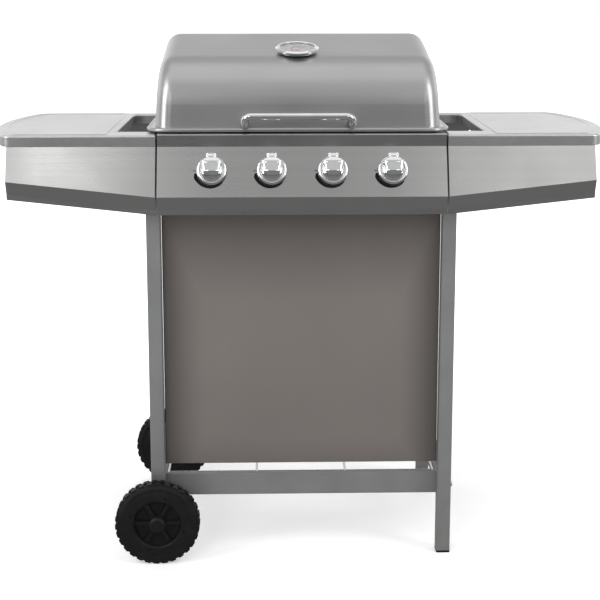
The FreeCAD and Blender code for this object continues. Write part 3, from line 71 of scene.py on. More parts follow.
# ---------------------------------------------------------------- material helpers
class Finish:
    """A material whose pattern nodes are added to its Principled shader one by one."""

    def __init__(self, name, **sockets):
        self.material = bpy.data.materials.new(name)
        self.material.use_nodes = True
        self.tree = self.material.node_tree
        self.shader = self.tree.nodes["Principled BSDF"]
        for socket, value in sockets.items():
            self.shader.inputs[socket.replace("_", " ")].default_value = value
        self.coords = self.node("ShaderNodeTexCoord").outputs["Object"]

    def node(self, kind, **settings):
        made = self.tree.nodes.new(kind)
        for key, value in settings.items():
            setattr(made, key, value)
        return made

    def link(self, source, target):
        self.tree.links.new(source, target)

    def noise(self, scale, stretch=(1.0, 1.0, 1.0), detail=3.0, roughness=0.5, distortion=0.0):
        """Grey noise; the pattern has scale features a metre, multiplied by the stretch along each axis."""
        mapping = self.node("ShaderNodeMapping")
        mapping.inputs["Scale"].default_value = stretch
        self.link(self.coords, mapping.inputs["Vector"])
        texture = self.node("ShaderNodeTexNoise")
        texture.inputs["Scale"].default_value = scale
        texture.inputs["Detail"].default_value = detail
        texture.inputs["Roughness"].default_value = roughness
        texture.inputs["Distortion"].default_value = distortion
        self.link(mapping.outputs["Vector"], texture.inputs["Vector"])
        return texture.outputs["Fac"]

    def ramp(self, value, stops):
        """Colour ramp over (position, grey or colour) stops."""
        made = self.node("ShaderNodeValToRGB")
        elements = made.color_ramp.elements
        while len(elements) < len(stops):
            elements.new(0.5)
        for element, (position, colour) in zip(elements, stops):
            element.position = position
            element.color = colour_of(colour)
        self.link(value, made.inputs["Fac"])
        return made.outputs["Color"]

    def mix(self, factor, low, high, mode="MIX"):
        """Colour mixed by a factor; each input is a socket, a number or a colour."""
        made = self.node("ShaderNodeMix", data_type="RGBA", blend_type=mode)
        for socket, value in ((made.inputs[0], factor), (made.inputs[6], low), (made.inputs[7], high)):
            if isinstance(value, bpy.types.NodeSocket):
                self.link(value, socket)
            elif socket == made.inputs[0]:
                socket.default_value = value
            else:
                socket.default_value = colour_of(value)
        return made.outputs[2]

    def spread(self, value, low, high, from_low=0.3, from_high=0.7):
        """A 0 to 1 pattern brought to the range low to high."""
        made = self.node("ShaderNodeMapRange")
        made.inputs["From Min"].default_value = from_low
        made.inputs["From Max"].default_value = from_high
        made.inputs["To Min"].default_value = low
        made.inputs["To Max"].default_value = high
        self.link(value, made.inputs["Value"])
        return made.outputs["Result"]

    def colour(self, source):
        self.link(source, self.shader.inputs["Base Color"])

    def roughness(self, source):
        self.link(source, self.shader.inputs["Roughness"])

    def bump(self, *layers):
        """Relief from (pattern, depth in metres) layers."""
        normal = None
        for pattern, depth in layers:
            made = self.node("ShaderNodeBump")
            made.inputs["Strength"].default_value = 1.0
            made.inputs["Distance"].default_value = depth
            self.link(pattern, made.inputs["Height"])
            if normal is not None:
                self.link(normal, made.inputs["Normal"])
            normal = made.outputs["Normal"]
        self.link(normal, self.shader.inputs["Normal"])


def colour_of(value):
    """RGBA from a grey number or an RGB colour."""
    if isinstance(value, (int, float)):
        return (value, value, value, 1.0)
    return (*value, 1.0)


# ---------------------------------------------------------------- the finishes
def brushed_steel(name, base, rough, grain=(0.004, 1.0, 1.0), spread_light=0.45, smudge=0.04):
    """Sheet steel brushed along X: fine lines, faint long streaks and soft handling marks."""
    f = Finish(name, Metallic=1.0, Anisotropic=spread_light)
    lines = f.noise(1400.0, grain, detail=2.0)
    streaks = f.noise(60.0, grain, detail=2.0)
    marks = f.noise(6.0, detail=4.0, distortion=0.6)
    tint = f.mix(f.spread(streaks, 0.0, 1.0), [c * 0.97 for c in base], [c * 1.03 for c in base])
    f.colour(f.mix(f.spread(marks, 0.0, smudge * 4), tint, [c * 0.85 for c in base]))
    worn = f.node("ShaderNodeMath", operation="ADD")
    f.link(f.spread(lines, rough - 0.015, rough + 0.015), worn.inputs[0])
    f.link(f.spread(marks, -smudge, smudge), worn.inputs[1])
    f.roughness(worn.outputs[0])
    f.bump((lines, 0.000001))
    around = f.node("ShaderNodeTangent", direction_type="RADIAL", axis="X")
    f.link(around.outputs["Tangent"], f.shader.inputs["Tangent"])
    return f.material


def powder_coat(name, base, rough, metallic=0.0, peel=0.00003, dust=(0.30, 0.28, 0.25)):
    """Sprayed coat with a fine orange-peel surface, slight cloudiness and a little dust low down."""
    f = Finish(name, Metallic=metallic)
    peel_pattern = f.noise(900.0, detail=2.0)
    cloud = f.noise(14.0, detail=4.0)
    specks = f.noise(2600.0, detail=1.0)
    body = f.mix(f.spread(cloud, 0.0, 1.0), [c * 0.93 for c in base], [c * 1.07 for c in base])
    body = f.mix(f.spread(specks, 0.0, 0.25, 0.55, 0.8), body, [min(c * 1.5, 1.0) for c in base])
    height = f.node("ShaderNodeSeparateXYZ")
    f.link(f.coords, height.inputs["Vector"])
    low_down = f.spread(height.outputs["Z"], 0.20, 0.0, 0.0, 0.22)
    dusty = f.node("ShaderNodeMath", operation="MULTIPLY")
    f.link(low_down, dusty.inputs[0])
    f.link(f.spread(f.noise(40.0, detail=5.0), 0.0, 1.0), dusty.inputs[1])
    f.colour(f.mix(dusty.outputs[0], body, dust))
    f.roughness(f.spread(cloud, rough - 0.06, rough + 0.06))
    f.bump((peel_pattern, peel))
    return f.material


def panel_coat(base, half_width, low, high):
    """Warm metallic paint of the front panel, duller and darker along its edges and under the console, where
    shade is painted into its colour.
    """
    f = Finish("panel_coat", Metallic=0.3)
    cloud = f.noise(5.0, detail=3.0)
    flake = f.noise(2400.0, detail=1.0)
    where = f.node("ShaderNodeSeparateXYZ")
    f.link(f.coords, where.inputs["Vector"])
    beside = f.node("ShaderNodeMath", operation="ABSOLUTE")
    f.link(where.outputs["X"], beside.inputs[0])
    # Painted shade: the colour darkens towards the panel's sides, down from under the console and just above
    # its foot.
    side_painted_shade = f.spread(beside.outputs[0], 0.0, 1.0, half_width - 0.07, half_width)
    top_painted_shade = f.spread(where.outputs["Z"], 0.0, 1.0, high - 0.16, high)
    foot_painted_shade = f.spread(where.outputs["Z"], 0.35, 0.0, low, low + 0.05)
    dim = f.node("ShaderNodeMath", operation="MAXIMUM")
    f.link(side_painted_shade, dim.inputs[0])
    f.link(top_painted_shade, dim.inputs[1])
    painted_shade = f.node("ShaderNodeMath", operation="MAXIMUM")
    f.link(dim.outputs[0], painted_shade.inputs[0])
    f.link(foot_painted_shade, painted_shade.inputs[1])
    body = f.mix(f.spread(cloud, 0.0, 1.0), [c * 0.97 for c in base], [c * 1.04 for c in base])
    body = f.mix(f.spread(flake, 0.0, 0.2, 0.55, 0.8), body, [c * 1.4 for c in base])
    # The painted shade darkens the paint colour down to 0.55 of its base.
    f.colour(f.mix(painted_shade.outputs[0], body, [c * 0.55 for c in base]))
    f.roughness(f.spread(cloud, 0.42, 0.5))
    f.bump((f.noise(900.0, detail=2.0), 0.000015))
    return f.material


def chrome_plate():
    """Polished chrome with faint wiping marks."""
    f = Finish("chrome_plate", Metallic=1.0)
    wipe = f.noise(22.0, (1.0, 0.25, 1.0), detail=4.0, distortion=1.2)
    f.colour(f.mix(f.spread(wipe, 0.0, 1.0), (0.80, 0.81, 0.82), (0.90, 0.90, 0.90)))
    f.roughness(f.spread(wipe, 0.05, 0.13))
    f.bump((f.noise(120.0, detail=2.0), 0.000012))
    return f.material


def plated_steel():
    """Zinc-plated steel of pins, bolts, axle and wires, with a slightly mottled, satin surface."""
    f = Finish("plated_steel", Metallic=1.0)
    mottle = f.noise(180.0, detail=4.0)
    f.colour(f.mix(f.spread(mottle, 0.0, 1.0), (0.46, 0.47, 0.49), (0.62, 0.63, 0.64)))
    f.roughness(f.spread(mottle, 0.24, 0.40))
    f.bump((mottle, 0.00001))
    return f.material


def heated_stainless():
    """Plain stainless of the burners and flame tamers, with straw and blue heat tints."""
    f = Finish("heated_stainless", Metallic=1.0)
    heat = f.noise(12.0, (1.0, 0.6, 1.0), detail=5.0, distortion=0.8)
    grain = f.noise(900.0, (1.0, 0.02, 1.0), detail=2.0)
    f.colour(f.ramp(heat, [(0.40, (0.50, 0.50, 0.49)), (0.60, (0.50, 0.46, 0.40)), (0.72, (0.42, 0.39, 0.40)),
                           (0.85, (0.42, 0.43, 0.46))]))
    f.roughness(f.spread(grain, 0.28, 0.42))
    f.bump((grain, 0.00001))
    return f.material


def black_enamel():
    """Black heat-proof enamel of the firebox: glassy, a little wavy, with grey soot haze."""
    f = Finish("black_enamel")
    soot = f.noise(16.0, detail=6.0, distortion=0.5)
    f.colour(f.mix(f.spread(soot, 0.0, 1.0), (0.018, 0.018, 0.019), (0.055, 0.052, 0.048)))
    f.roughness(f.spread(soot, 0.22, 0.55))
    f.bump((f.noise(260.0, detail=2.0), 0.00005))
    return f.material


def cast_iron():
    """Matt enamelled cast iron with a sandy skin and a faint oily sheen."""
    f = Finish("cast_iron_matt")
    sand = f.noise(1300.0, detail=4.0, roughness=0.65)
    oil = f.noise(30.0, detail=4.0)
    f.colour(f.mix(f.spread(oil, 0.0, 1.0), (0.020, 0.020, 0.020), (0.050, 0.046, 0.042)))
    f.roughness(f.spread(oil, 0.42, 0.75))
    f.bump((sand, 0.00022))
    return f.material


def moulded_black(name="moulded_black", base=0.006, rough=0.5):
    """Moulded black plastic with a fine leather-like grain and dusty high spots."""
    f = Finish(name, Specular_IOR_Level=0.28)
    grain = f.node("ShaderNodeTexVoronoi", feature="DISTANCE_TO_EDGE")
    grain.inputs["Scale"].default_value = 850.0
    f.link(f.coords, grain.inputs["Vector"])
    dust = f.noise(60.0, detail=6.0, roughness=0.6)
    f.colour(f.mix(f.spread(dust, 0.0, 1.0, 0.5, 0.85), base, base * 1.8))
    f.roughness(f.spread(dust, rough - 0.07, rough + 0.12))
    f.bump((grain.outputs["Distance"], 0.00005), (f.noise(700.0), 0.00002))
    return f.material


def machined_brass():
    """Turned brass with fine tool lines and slight tarnish."""
    f = Finish("machined_brass", Metallic=1.0)
    tarnish = f.noise(60.0, detail=5.0)
    tool = f.noise(1500.0, (1.0, 0.03, 0.03), detail=1.0)
    f.colour(f.mix(f.spread(tarnish, 0.0, 1.0), (0.62, 0.44, 0.18), (0.42, 0.29, 0.13)))
    f.roughness(f.spread(tarnish, 0.22, 0.42))
    f.bump((tool, 0.00001))
    return f.material


def glazed_ceramic():
    """Off-white glazed ceramic with grey smoke at places."""
    f = Finish("glazed_ceramic")
    smoke = f.noise(90.0, detail=5.0)
    f.colour(f.mix(f.spread(smoke, 0.0, 1.0, 0.4, 0.75), (0.80, 0.77, 0.70), (0.52, 0.48, 0.42)))
    f.roughness(f.spread(smoke, 0.15, 0.4))
    f.bump((f.noise(500.0), 0.00001))
    return f.material


def dial_print(name, low, high, rough=0.55):
    """Printed matt ink or lacquer with a slight tooth."""
    f = Finish(name, Specular_IOR_Level=0.15)
    tooth = f.noise(2200.0, detail=2.0)
    wash = f.noise(70.0, detail=3.0)
    f.colour(f.mix(f.spread(wash, 0.0, 1.0), low, high))
    f.roughness(f.spread(tooth, rough - 0.08, rough + 0.08))
    f.bump((tooth, 0.000006))
    return f.material


def clear_glass():
    """Flat thermometer glass."""
    f = Finish("clear_glass", Transmission_Weight=1.0, IOR=1.2, Specular_IOR_Level=0.2)
    haze = f.noise(90.0, detail=4.0)
    f.colour(f.mix(f.spread(haze, 0.0, 1.0), (0.97, 0.98, 0.98), (0.93, 0.95, 0.95)))
    f.roughness(f.spread(haze, 0.0, 0.05))
    return f.material


FINISHES = {
    "frame_paint": powder_coat("frame_coat", (0.150, 0.153, 0.152), 0.48, metallic=0.1),
    "lid_steel": brushed_steel("lid_brushed", (0.50, 0.50, 0.50), 0.36, spread_light=0.3),
    "console_steel": brushed_steel("console_brushed", (0.52, 0.52, 0.515), 0.30),
    "shelf_steel": brushed_steel("shelf_satin", (0.66, 0.66, 0.66), 0.42, (1.0, 1.0, 1.0), 0.0, 0.03),
    "panel_paint": panel_coat((0.176, 0.157, 0.147), PANEL_HALF_WIDTH, PANEL_FOOT, PANEL_TOP),
    "chrome": chrome_plate(),
    "black_plastic": moulded_black(),
    "bright_steel": plated_steel(),
    "stainless": heated_stainless(),
    "firebox_enamel": black_enamel(),
    "cast_iron": cast_iron(),
    "brass": machined_brass(),
    "spark_ceramic": glazed_ceramic(),
    "rubber": moulded_black("matt_rubber", 0.012, 0.7),
    "dial_face": dial_print("dial_lacquer", (0.075, 0.062, 0.055), (0.095, 0.08, 0.072)),
    "dial_pointer": dial_print("pointer_red", (0.45, 0.05, 0.03), (0.55, 0.07, 0.04), 0.4),
    "dial_glass": clear_glass(),
}
SCALE_INK = dial_print("scale_ink", (0.22, 0.20, 0.19), (0.28, 0.26, 0.24))
# Near-black ink of the flame wedges, which is partly print and partly painted shadow of the knobs.
PRINT_AND_SHADOW_INK = dial_print("print_and_shadow_ink", (0.004, 0.004, 0.004), (0.008, 0.008, 0.008), 0.6)


def dress_cad_nodes():
    """Every CAD node takes the finish of its material slot."""
    for node in NODES.values():
        node.data.materials[0] = FINISHES[node.data.materials[0].name]


# ---------------------------------------------------------------- mesh helpers
def add_ring(work, points):
    return [work.verts.new(p) for p in points]


def bridge(work, rings, closed=False):
    """Quads between neighbouring rings of equal length; closed joins the last to the first."""
    pairs = list(zip(rings, rings[1:]))
    if closed:
        pairs.append((rings[-1], rings[0]))
    count = len(rings[0])
    for low, high in pairs:
        for i in range(count):
            j = (i + 1) % count
            work.faces.new((low[i], low[j], high[j], high[i]))


def lathe(work, profile, steps=96, closed=False):
    """Turned shape of (radius, height) rings round +Z; a radius may be a function of the angle."""
    rings = []
    for radius, height in profile:
        points = []
        for i in range(steps):
            angle = 2 * math.pi * i / steps
            r = radius(angle) if callable(radius) else radius
            points.append((r * math.cos(angle), r * math.sin(angle), height))
        rings.append(add_ring(work, points))
    bridge(work, rings, closed)
    return rings


def settle(work, name, matrix, finish, body, slot, *replaced, sharp=35.0):
    """Turns a bmesh into an object in its place that rides on a body."""
    bmesh.ops.remove_doubles(work, verts=work.verts, dist=1e-7)
    bmesh.ops.dissolve_degenerate(work, edges=work.edges, dist=1e-7)
    bmesh.ops.recalc_face_normals(work, faces=work.faces)
    work.transform(matrix)
    mesh = bpy.data.meshes.new(name)
    work.to_mesh(mesh)
    work.free()
    mesh.shade_smooth()
    mesh.set_sharp_from_angle(angle=math.radians(sharp))
    mesh.materials.append(finish)
    made = bpy.data.objects.new(name, mesh)
    bpy.context.scene.collection.objects.link(made)
    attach(made, body)
    if replaced:
        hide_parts(*replaced)
    return made


def axes_matrix(origin, right, out):
    """Matrix that takes local +X to right and local +Z to out, at an origin."""
    z = Vector(out).normalized()
    x = Vector(right)
    x = (x - z * x.dot(z)).normalized()
    y = z.cross(x)
    made = Matrix((x, y, z)).transposed().to_4x4()
    made.translation = Vector(origin)
    return made


def blend_between(stops, at):
    """Value at a place along (place, value) stops, eased between them."""
    if at <= stops[0][0]:
        return stops[0][1]
    for (a, low), (b, high) in zip(stops, stops[1:]):
        if at <= b:
            t = (at - a) / (b - a)
            return low + (high - low) * t * t * (3 - 2 * t)
    return stops[-1][1]


# ---------------------------------------------------------------- wheels
LUGS = 30
LUG_SHARE = 0.68               # of the pitch between two lugs
LUG_DEPTH = 2.4 * MM
WHEEL_BORE = 4.2 * MM          # radius of the hole for the axle
DIMPLES = 4                    # in each rim face
DIMPLE_START = 73              # degrees
DIMPLE_AT = 50.0 * MM          # from the axis
DIMPLE_RADIUS = 1.9 * MM
DIMPLE_DEPTH = 1.8 * MM
SPOKES = 6
SPOKE_FLOOR = 12.5 * MM        # from the wheel's face to the bottom of its recess


def lug_radius(shift, high, low):
    """Tread radius round the wheel: high on the lugs of a row and low between them."""
    def radius(angle):
        phase = (angle * LUGS / (2 * math.pi) + shift) % 1.0
        return high if phase < LUG_SHARE else low
    return radius


def wheel_profile(outer, half):
    """(radius, height) rings of the moulded wheel, from the outer hub face over the tread and back."""
    low = outer - LUG_DEPTH
    row_one = lug_radius(0.0, outer, low)
    row_two = lug_radius(0.5, outer, low)
    face = [(13.2, -1.6), (14.2, -3.0), (15.0, -10.6), (17.0, -11.2), (36.0, -11.4), (39.5, -10.6),
            (41.2, -8.0), (42.2, -2.2), (43.6, -0.6), (45.5, -0.2), (47.0, 0.0)]
    face += [(48.0 + i * 0.8, 0.0) for i in range(6)]
    face += [(54.0, 0.0), (60.0, -0.2), (61.0, -0.7), (62.0, -0.2), (67.0, -0.5), (69.5, -1.2), (71.0, -2.6)]
    side = [(r * MM, half + h * MM) for r, h in face]
    tread = [(low, half - 3.0 * MM), (row_one, half - 3.4 * MM), (row_one, 1.7 * MM), (low, 1.5 * MM),
             (low, -1.5 * MM), (row_two, -1.7 * MM), (row_two, -half + 3.4 * MM), (low, -half + 3.0 * MM)]
    back = [(r, -h) for r, h in reversed(side)]
    return [(WHEEL_BORE, half - 1.6 * MM)] + side + tread + back + [(WHEEL_BORE, -half + 1.6 * MM)]


def pierce_dimples(rings, half):
    """Four small blind holes in the flat of each rim face."""
    for ring in rings:
        for vert in ring:
            if abs(abs(vert.co.z) - half) > 0.1 * MM:
                continue
            for i in range(DIMPLES):
                angle = math.radians(DIMPLE_START + 360 // DIMPLES * i)
                away = (vert.co.xy - Vector((math.cos(angle), math.sin(angle))) * DIMPLE_AT).length
                if away < DIMPLE_RADIUS:
                    vert.co.z -= math.copysign(DIMPLE_DEPTH, vert.co.z)


def add_spokes(work, half):
    """Six round-backed ribs in the recess of each wheel face."""
    section = ((-1.0, 0.0), (-0.94, 0.7), (-0.7, 0.93), (0.0, 1.0), (0.7, 0.93), (0.94, 0.7), (1.0, 0.0))
    stations = ((12.0, 5.6, 8.6), (17.0, 4.6, 8.4), (26.0, 4.0, 7.2), (35.0, 4.8, 6.8), (43.0, 6.6, 6.4))
    for side in (-1, 1):
        for i in range(SPOKES):
            turn = Matrix.Rotation(math.radians(360 // SPOKES * i), 4, "Z")
            rings = []
            for reach, half_width, rise in stations:
                floor = half - SPOKE_FLOOR
                points = [turn @ Vector((reach * MM, u * half_width * MM, side * (floor + v * rise * MM)))
                          for u, v in section]
                rings.append(add_ring(work, points))
            bridge(work, rings)
            work.faces.new(rings[0])
            work.faces.new(rings[-1])


def build_wheel(name, joint_name, outward):
    """Black moulded wheel with two staggered rows of lugs, in place of its CAD node."""
    low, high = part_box(name)
    outer = (high.z - low.z) / 2
    half = (high.y - low.y) / 2
    centre = Vector(JOINTS[joint_name]["pos_m"])
    centre.y = (low.y + high.y) / 2
    work = bmesh.new()
    rings = lathe(work, wheel_profile(outer, half), steps=LUGS * 10, closed=True)
    pierce_dimples(rings, half)
    add_spokes(work, half)
    place = axes_matrix(centre, (1, 0, 0), (0, outward, 0))
    settle(work, name + "_moulded", place, FINISHES["black_plastic"], name, "black_plastic", name, sharp=40.0)


# ---------------------------------------------------------------- knobs
def add_skirt(work):
    """Round chromed skirt with a rolled edge, a groove and a low crown."""
    profile = [(0.0, 5.2), (22.0, 5.2), (24.4, 5.3), (25.0, 5.8), (25.2, 6.6), (25.0, 7.5), (24.4, 8.2),
               (23.5, 8.6), (22.0, 8.9), (20.3, 9.0), (19.6, 8.7), (19.2, 8.2), (18.8, 8.7), (18.2, 9.6),
               (17.0, 11.0), (14.0, 12.6), (8.0, 13.6), (0.0, 14.0)]
    lathe(work, [(r * MM, h * MM) for r, h in profile], steps=120)


# (place along the grip, half width) and (place along the grip, height), in millimetres
GRIP_WIDTH = ((-16.2, 3.0), (-15.6, 6.2), (-14.0, 9.2), (-11.0, 11.8), (-6.0, 13.8), (0.0, 15.0), (8.0, 16.2),
              (13.0, 16.8), (15.5, 15.4), (17.5, 12.0), (18.6, 9.0), (20.0, 8.2), (25.6, 8.5), (27.0, 7.7))
GRIP_CREST = ((-16.2, 13.4), (-14.6, 16.5), (-11.2, 27.5), (-9.6, 30.6), (-8.0, 32.2), (-6.0, 33.0),
              (10.0, 30.8), (20.0, 28.0), (25.4, 26.2), (27.0, 23.8))
GRIP_FLAT = 4.4                # power of the crest's cross-section: the higher, the flatter
GRIP_CROWN = 3.6               # rise of the crest's middle over its shoulders
GRIP_FOOT = 9.0


def grip_section(v):
    """Cross-section of the grip at v: a flat crest, rounded shoulders and slightly hollow sides."""
    width = blend_between(GRIP_WIDTH, v)
    crest = blend_between(GRIP_CREST, v)
    points = []
    count = 24
    for i in range(count + 1):
        t = -1 + 2 * i / count
        u = math.copysign(1 - (1 - abs(t)) ** 1.6, t)
        fall = GRIP_CROWN * (0.45 * u * u + 0.55 * abs(u) ** (2 * GRIP_FLAT))
        points.append((width * u, max(crest - fall, GRIP_FOOT + 0.5)))
    shoulder = points[-1][1]
    sides = []
    for i in range(1, 7):
        t = i / 6
        sides.append((width - 1.5 * math.sin(math.pi * t) * (shoulder - GRIP_FOOT) / 20,
                      shoulder + (GRIP_FOOT - shoulder) * t))
    return [(-u, h) for u, h in reversed(sides)] + points + sides


def add_grip(work):
    """Tall tapering finger grip of a knob."""
    rings = []
    steps = 72
    low, high = GRIP_WIDTH[0][0], GRIP_WIDTH[-1][0]
    for i in range(steps + 1):
        t = i / steps
        v = low + (high - low) * (t - math.sin(2 * math.pi * t) / (2 * math.pi) * 0.75)
        rings.append(add_ring(work, [(u * MM, v * MM, h * MM) for u, h in grip_section(v)]))
    bridge(work, rings)
    work.faces.new(rings[0])
    work.faces.new(rings[-1])


def build_knob(number):
    """Chromed knob with a round skirt and a tall grip, in place of its CAD node."""
    joint = JOINTS["knob_%d_turn" % number]
    name = "knob_%d" % number
    work = bmesh.new()
    add_skirt(work)
    add_grip(work)
    place = axes_matrix(joint["pos_m"], (1, 0, 0), joint["axis"])
    settle(work, name + "_chromed", place, FINISHES["chrome"], name, "chrome", name, sharp=50.0)


# The flame wedge is partly print and partly painted shadow: its width also takes in the knob's shadow below
# and left of the knob.
FLAME_START, FLAME_END = 188, 318           # degrees, anticlockwise from the knob's right
FLAME_INNER = 25.9
FLAME_WIDTH = 6.6                           # at the widest
PRINT_TOP, PRINT_FOOT = 0.12, -0.10         # of the print, from the panel's face


def build_flame_print_and_shadow(number):
    """Printed wedge round the lower left of a knob that narrows with the flame, and a tick at full flame; the
    wedge is drawn wide and near-black so that it also paints the knob's shadow there.
    """
    joint = JOINTS["knob_%d_turn" % number]
    work = bmesh.new()
    steps = 40
    start, end = math.radians(FLAME_START), math.radians(FLAME_END)
    rings = []
    for i in range(steps + 1):
        t = i / steps
        angle = start + (end - start) * t
        outer = FLAME_INNER + (FLAME_WIDTH * (1 - t) ** 0.6 * min(1.0, 0.5 + t * 5) + 0.3)
        direction = Vector((math.cos(angle), math.sin(angle)))
        points = [(FLAME_INNER, PRINT_FOOT), (FLAME_INNER, PRINT_TOP), (outer, PRINT_TOP), (outer, PRINT_FOOT)]
        rings.append(add_ring(work, [(*(direction * r * MM), h * MM) for r, h in points]))
    bridge(work, rings)
    work.faces.new(rings[0])
    work.faces.new(rings[-1])
    tick = bmesh.ops.create_cube(work, size=1.0)["verts"]
    bmesh.ops.scale(work, verts=tick, vec=(5.0 * MM, 1.1 * MM, (PRINT_TOP - PRINT_FOOT) * MM))
    bmesh.ops.translate(work, verts=tick, vec=(-29.0 * MM, 0.4 * MM, (PRINT_TOP + PRINT_FOOT) / 2 * MM))
    place = axes_matrix(joint["pos_m"], (1, 0, 0), joint["axis"])
    settle(work, "flame_mark_%d" % number, place, PRINT_AND_SHADOW_INK, "cart", "black_plastic")


# ---------------------------------------------------------------- fasteners
def islands(name):
    """(low, high) corners of each separate solid of a CAD node."""
    mesh = NODES[name].data
    work = bmesh.new()
    work.from_mesh(mesh)
    bmesh.ops.remove_doubles(work, verts=work.verts, dist=1e-6)
    left = set(work.verts)
    found = []
    while left:
        grow = [left.pop()]
        group = []
        while grow:
            vert = grow.pop()
            group.append(vert.co.copy())
            for edge in vert.link_edges:
                other = edge.other_vert(vert)
                if other in left:
                    left.remove(other)
                    grow.append(other)
        low = Vector([min(p[i] for p in group) for i in range(3)])
        high = Vector([max(p[i] for p in group) for i in range(3)])
        found.append((low, high))
    work.free()
    return sorted(found, key=lambda pair: tuple(pair[0]))


def hexagon(radius):
    """Radius round a hexagon, by angle."""
    def at(angle):
        inside = (angle % (math.pi / 3)) - math.pi / 6
        return radius * math.cos(math.pi / 6) / math.cos(inside)
    return at


def add_button_head(work, matrix, radius, height):
    """Domed bolt head with a hexagon socket."""
    socket = radius * 0.42
    profile = [(0.0, -0.2), (1.0, -0.2), (1.0, 0.12), (0.97, 0.3), (0.88, 0.6), (0.72, 0.86),
               (0.58, 0.97), (0.52, 1.0)]
    rings = [(r * radius, h * height) for r, h in profile]
    rings += [(hexagon(socket * 1.06), height), (hexagon(socket), height * 0.96),
              (hexagon(socket), height * 0.35), (0.0, height * 0.3)]
    made = lathe(work, rings, steps=48)
    for ring in made:
        for vert in ring:
            vert.co = matrix @ vert.co


def build_heads(name, outward):
    """Detailed bolt heads in place of a CAD node's plain ones; outward gives +1 or -1 for a head's X."""
    work = bmesh.new()
    for low, high in islands(name):
        centre = (low + high) / 2
        side = outward(centre.x)
        radius = (high.z - low.z) / 2
        height = high.x - low.x
        base = Vector((low.x if side > 0 else high.x, centre.y, centre.z))
        add_button_head(work, axes_matrix(base, (0, 0, 1), (side, 0, 0)), radius, height)
    finish = FINISHES["bright_steel"]
    settle(work, name + "_socket_heads", Matrix.Identity(4), finish, "cart", "bright_steel", name)


# ---------------------------------------------------------------- thermometer scale
DIAL_START, DIAL_SWEEP = 208.0, -236.0      # degrees, anticlockwise from the dial's right
DIAL_STEPS = 40                # divisions between the first tick and the last
TICKS_PER_NUMBER = 5
TICK_END = 28.6
NUMBER_AT = 20.2
NUMBER_HEIGHT = 4.4


def build_dial_scale():
    """Ticks and plain numbers printed on the thermometer's dial."""
    joint = JOINTS["needle_turn"]
    out = -Vector(joint["axis"])
    place = axes_matrix(joint["pos_m"], (1, 0, 0), out)
    work = bmesh.new()
    level = 5.02 * MM
    thickness = 0.08 * MM
    for i in range(DIAL_STEPS + 1):
        angle = math.radians(DIAL_START + DIAL_SWEEP * i / DIAL_STEPS)
        major = i % TICKS_PER_NUMBER == 0
        reach = (24.4 if major else 26.6) * MM
        half = (0.34 if major else 0.17) * MM
        direction = Vector((math.cos(angle), math.sin(angle), 0))
        across = Vector((-direction.y, direction.x, 0)) * half
        corners = [direction * reach - across, direction * TICK_END * MM - across,
                   direction * TICK_END * MM + across, direction * reach + across]
        bottom = add_ring(work, [c + Vector((0, 0, level)) for c in corners])
        top = add_ring(work, [c + Vector((0, 0, level + thickness)) for c in corners])
        bridge(work, [bottom, top])
        work.faces.new(top)
        work.faces.new(bottom)
    numbers = DIAL_STEPS // TICKS_PER_NUMBER
    for i in range(numbers + 1):
        angle = math.radians(DIAL_START + DIAL_SWEEP * i / numbers)
        middle = Vector((math.cos(angle), math.sin(angle), 0)) * NUMBER_AT * MM
        add_number(work, str(i * TICKS_PER_NUMBER), middle, NUMBER_HEIGHT * MM, level, thickness)
    settle(work, "thermometer_scale", place, SCALE_INK, "lid", "dial_face")


def add_number(work, digits, middle, height, level, thickness):
    """Raised digits centred on a point, as mesh added to the bmesh."""
    curve = bpy.data.curves.new("digits", "FONT")
    curve.body = digits
    curve.size = height
    curve.extrude = thickness / 2
    curve.align_x = "CENTER"
    curve.align_y = "CENTER"
    letter = bpy.data.objects.new("digits", curve)
    mesh = bpy.data.meshes.new_from_object(letter)
    mesh.transform(Matrix.Translation(middle + Vector((0, 0, level + thickness / 2))))
    work.from_mesh(mesh)
    bpy.data.objects.remove(letter)
    bpy.data.curves.remove(curve)
    bpy.data.meshes.remove(mesh)


# ---------------------------------------------------------------- room, light and camera
def softbox(name, at, aim, width, height, power, mirrored=True):
    light = bpy.data.lights.new(name, "AREA")
    light.shape = "RECTANGLE"
    light.size = width
    light.size_y = height
    light.energy = power
    holder = bpy.data.objects.new(name, light)
    holder.location = at
    holder.rotation_euler = (Vector(aim) - Vector(at)).to_track_quat("-Z", "Y").to_euler()
    holder.visible_camera = False
    holder.visible_glossy = mirrored
    bpy.context.scene.collection.objects.link(holder)


# (height from straight down at 0 to straight up at 1, brightness)
FRONT_SKY = ((0.0, 0.21), (0.36, 0.21), (0.47, 0.12), (0.56, 0.16), (0.66, 0.38), (0.76, 0.52),
             (0.86, 0.58), (1.0, 0.55))
BACK_SKY = ((0.0, 0.21), (0.44, 0.35), (0.52, 1.25), (0.62, 1.35), (0.72, 0.85), (0.82, 0.55), (1.0, 0.55))


def sky_ramp(tree, height, stops):
    ramp = tree.nodes.new("ShaderNodeValToRGB")
    while len(ramp.color_ramp.elements) < len(stops):
        ramp.color_ramp.elements.new(0.5)
    for element, (position, grey) in zip(ramp.color_ramp.elements, stops):
        element.position = position
        element.color = colour_of(grey)
    tree.links.new(height, ramp.inputs["Fac"])
    return ramp.outputs["Color"]


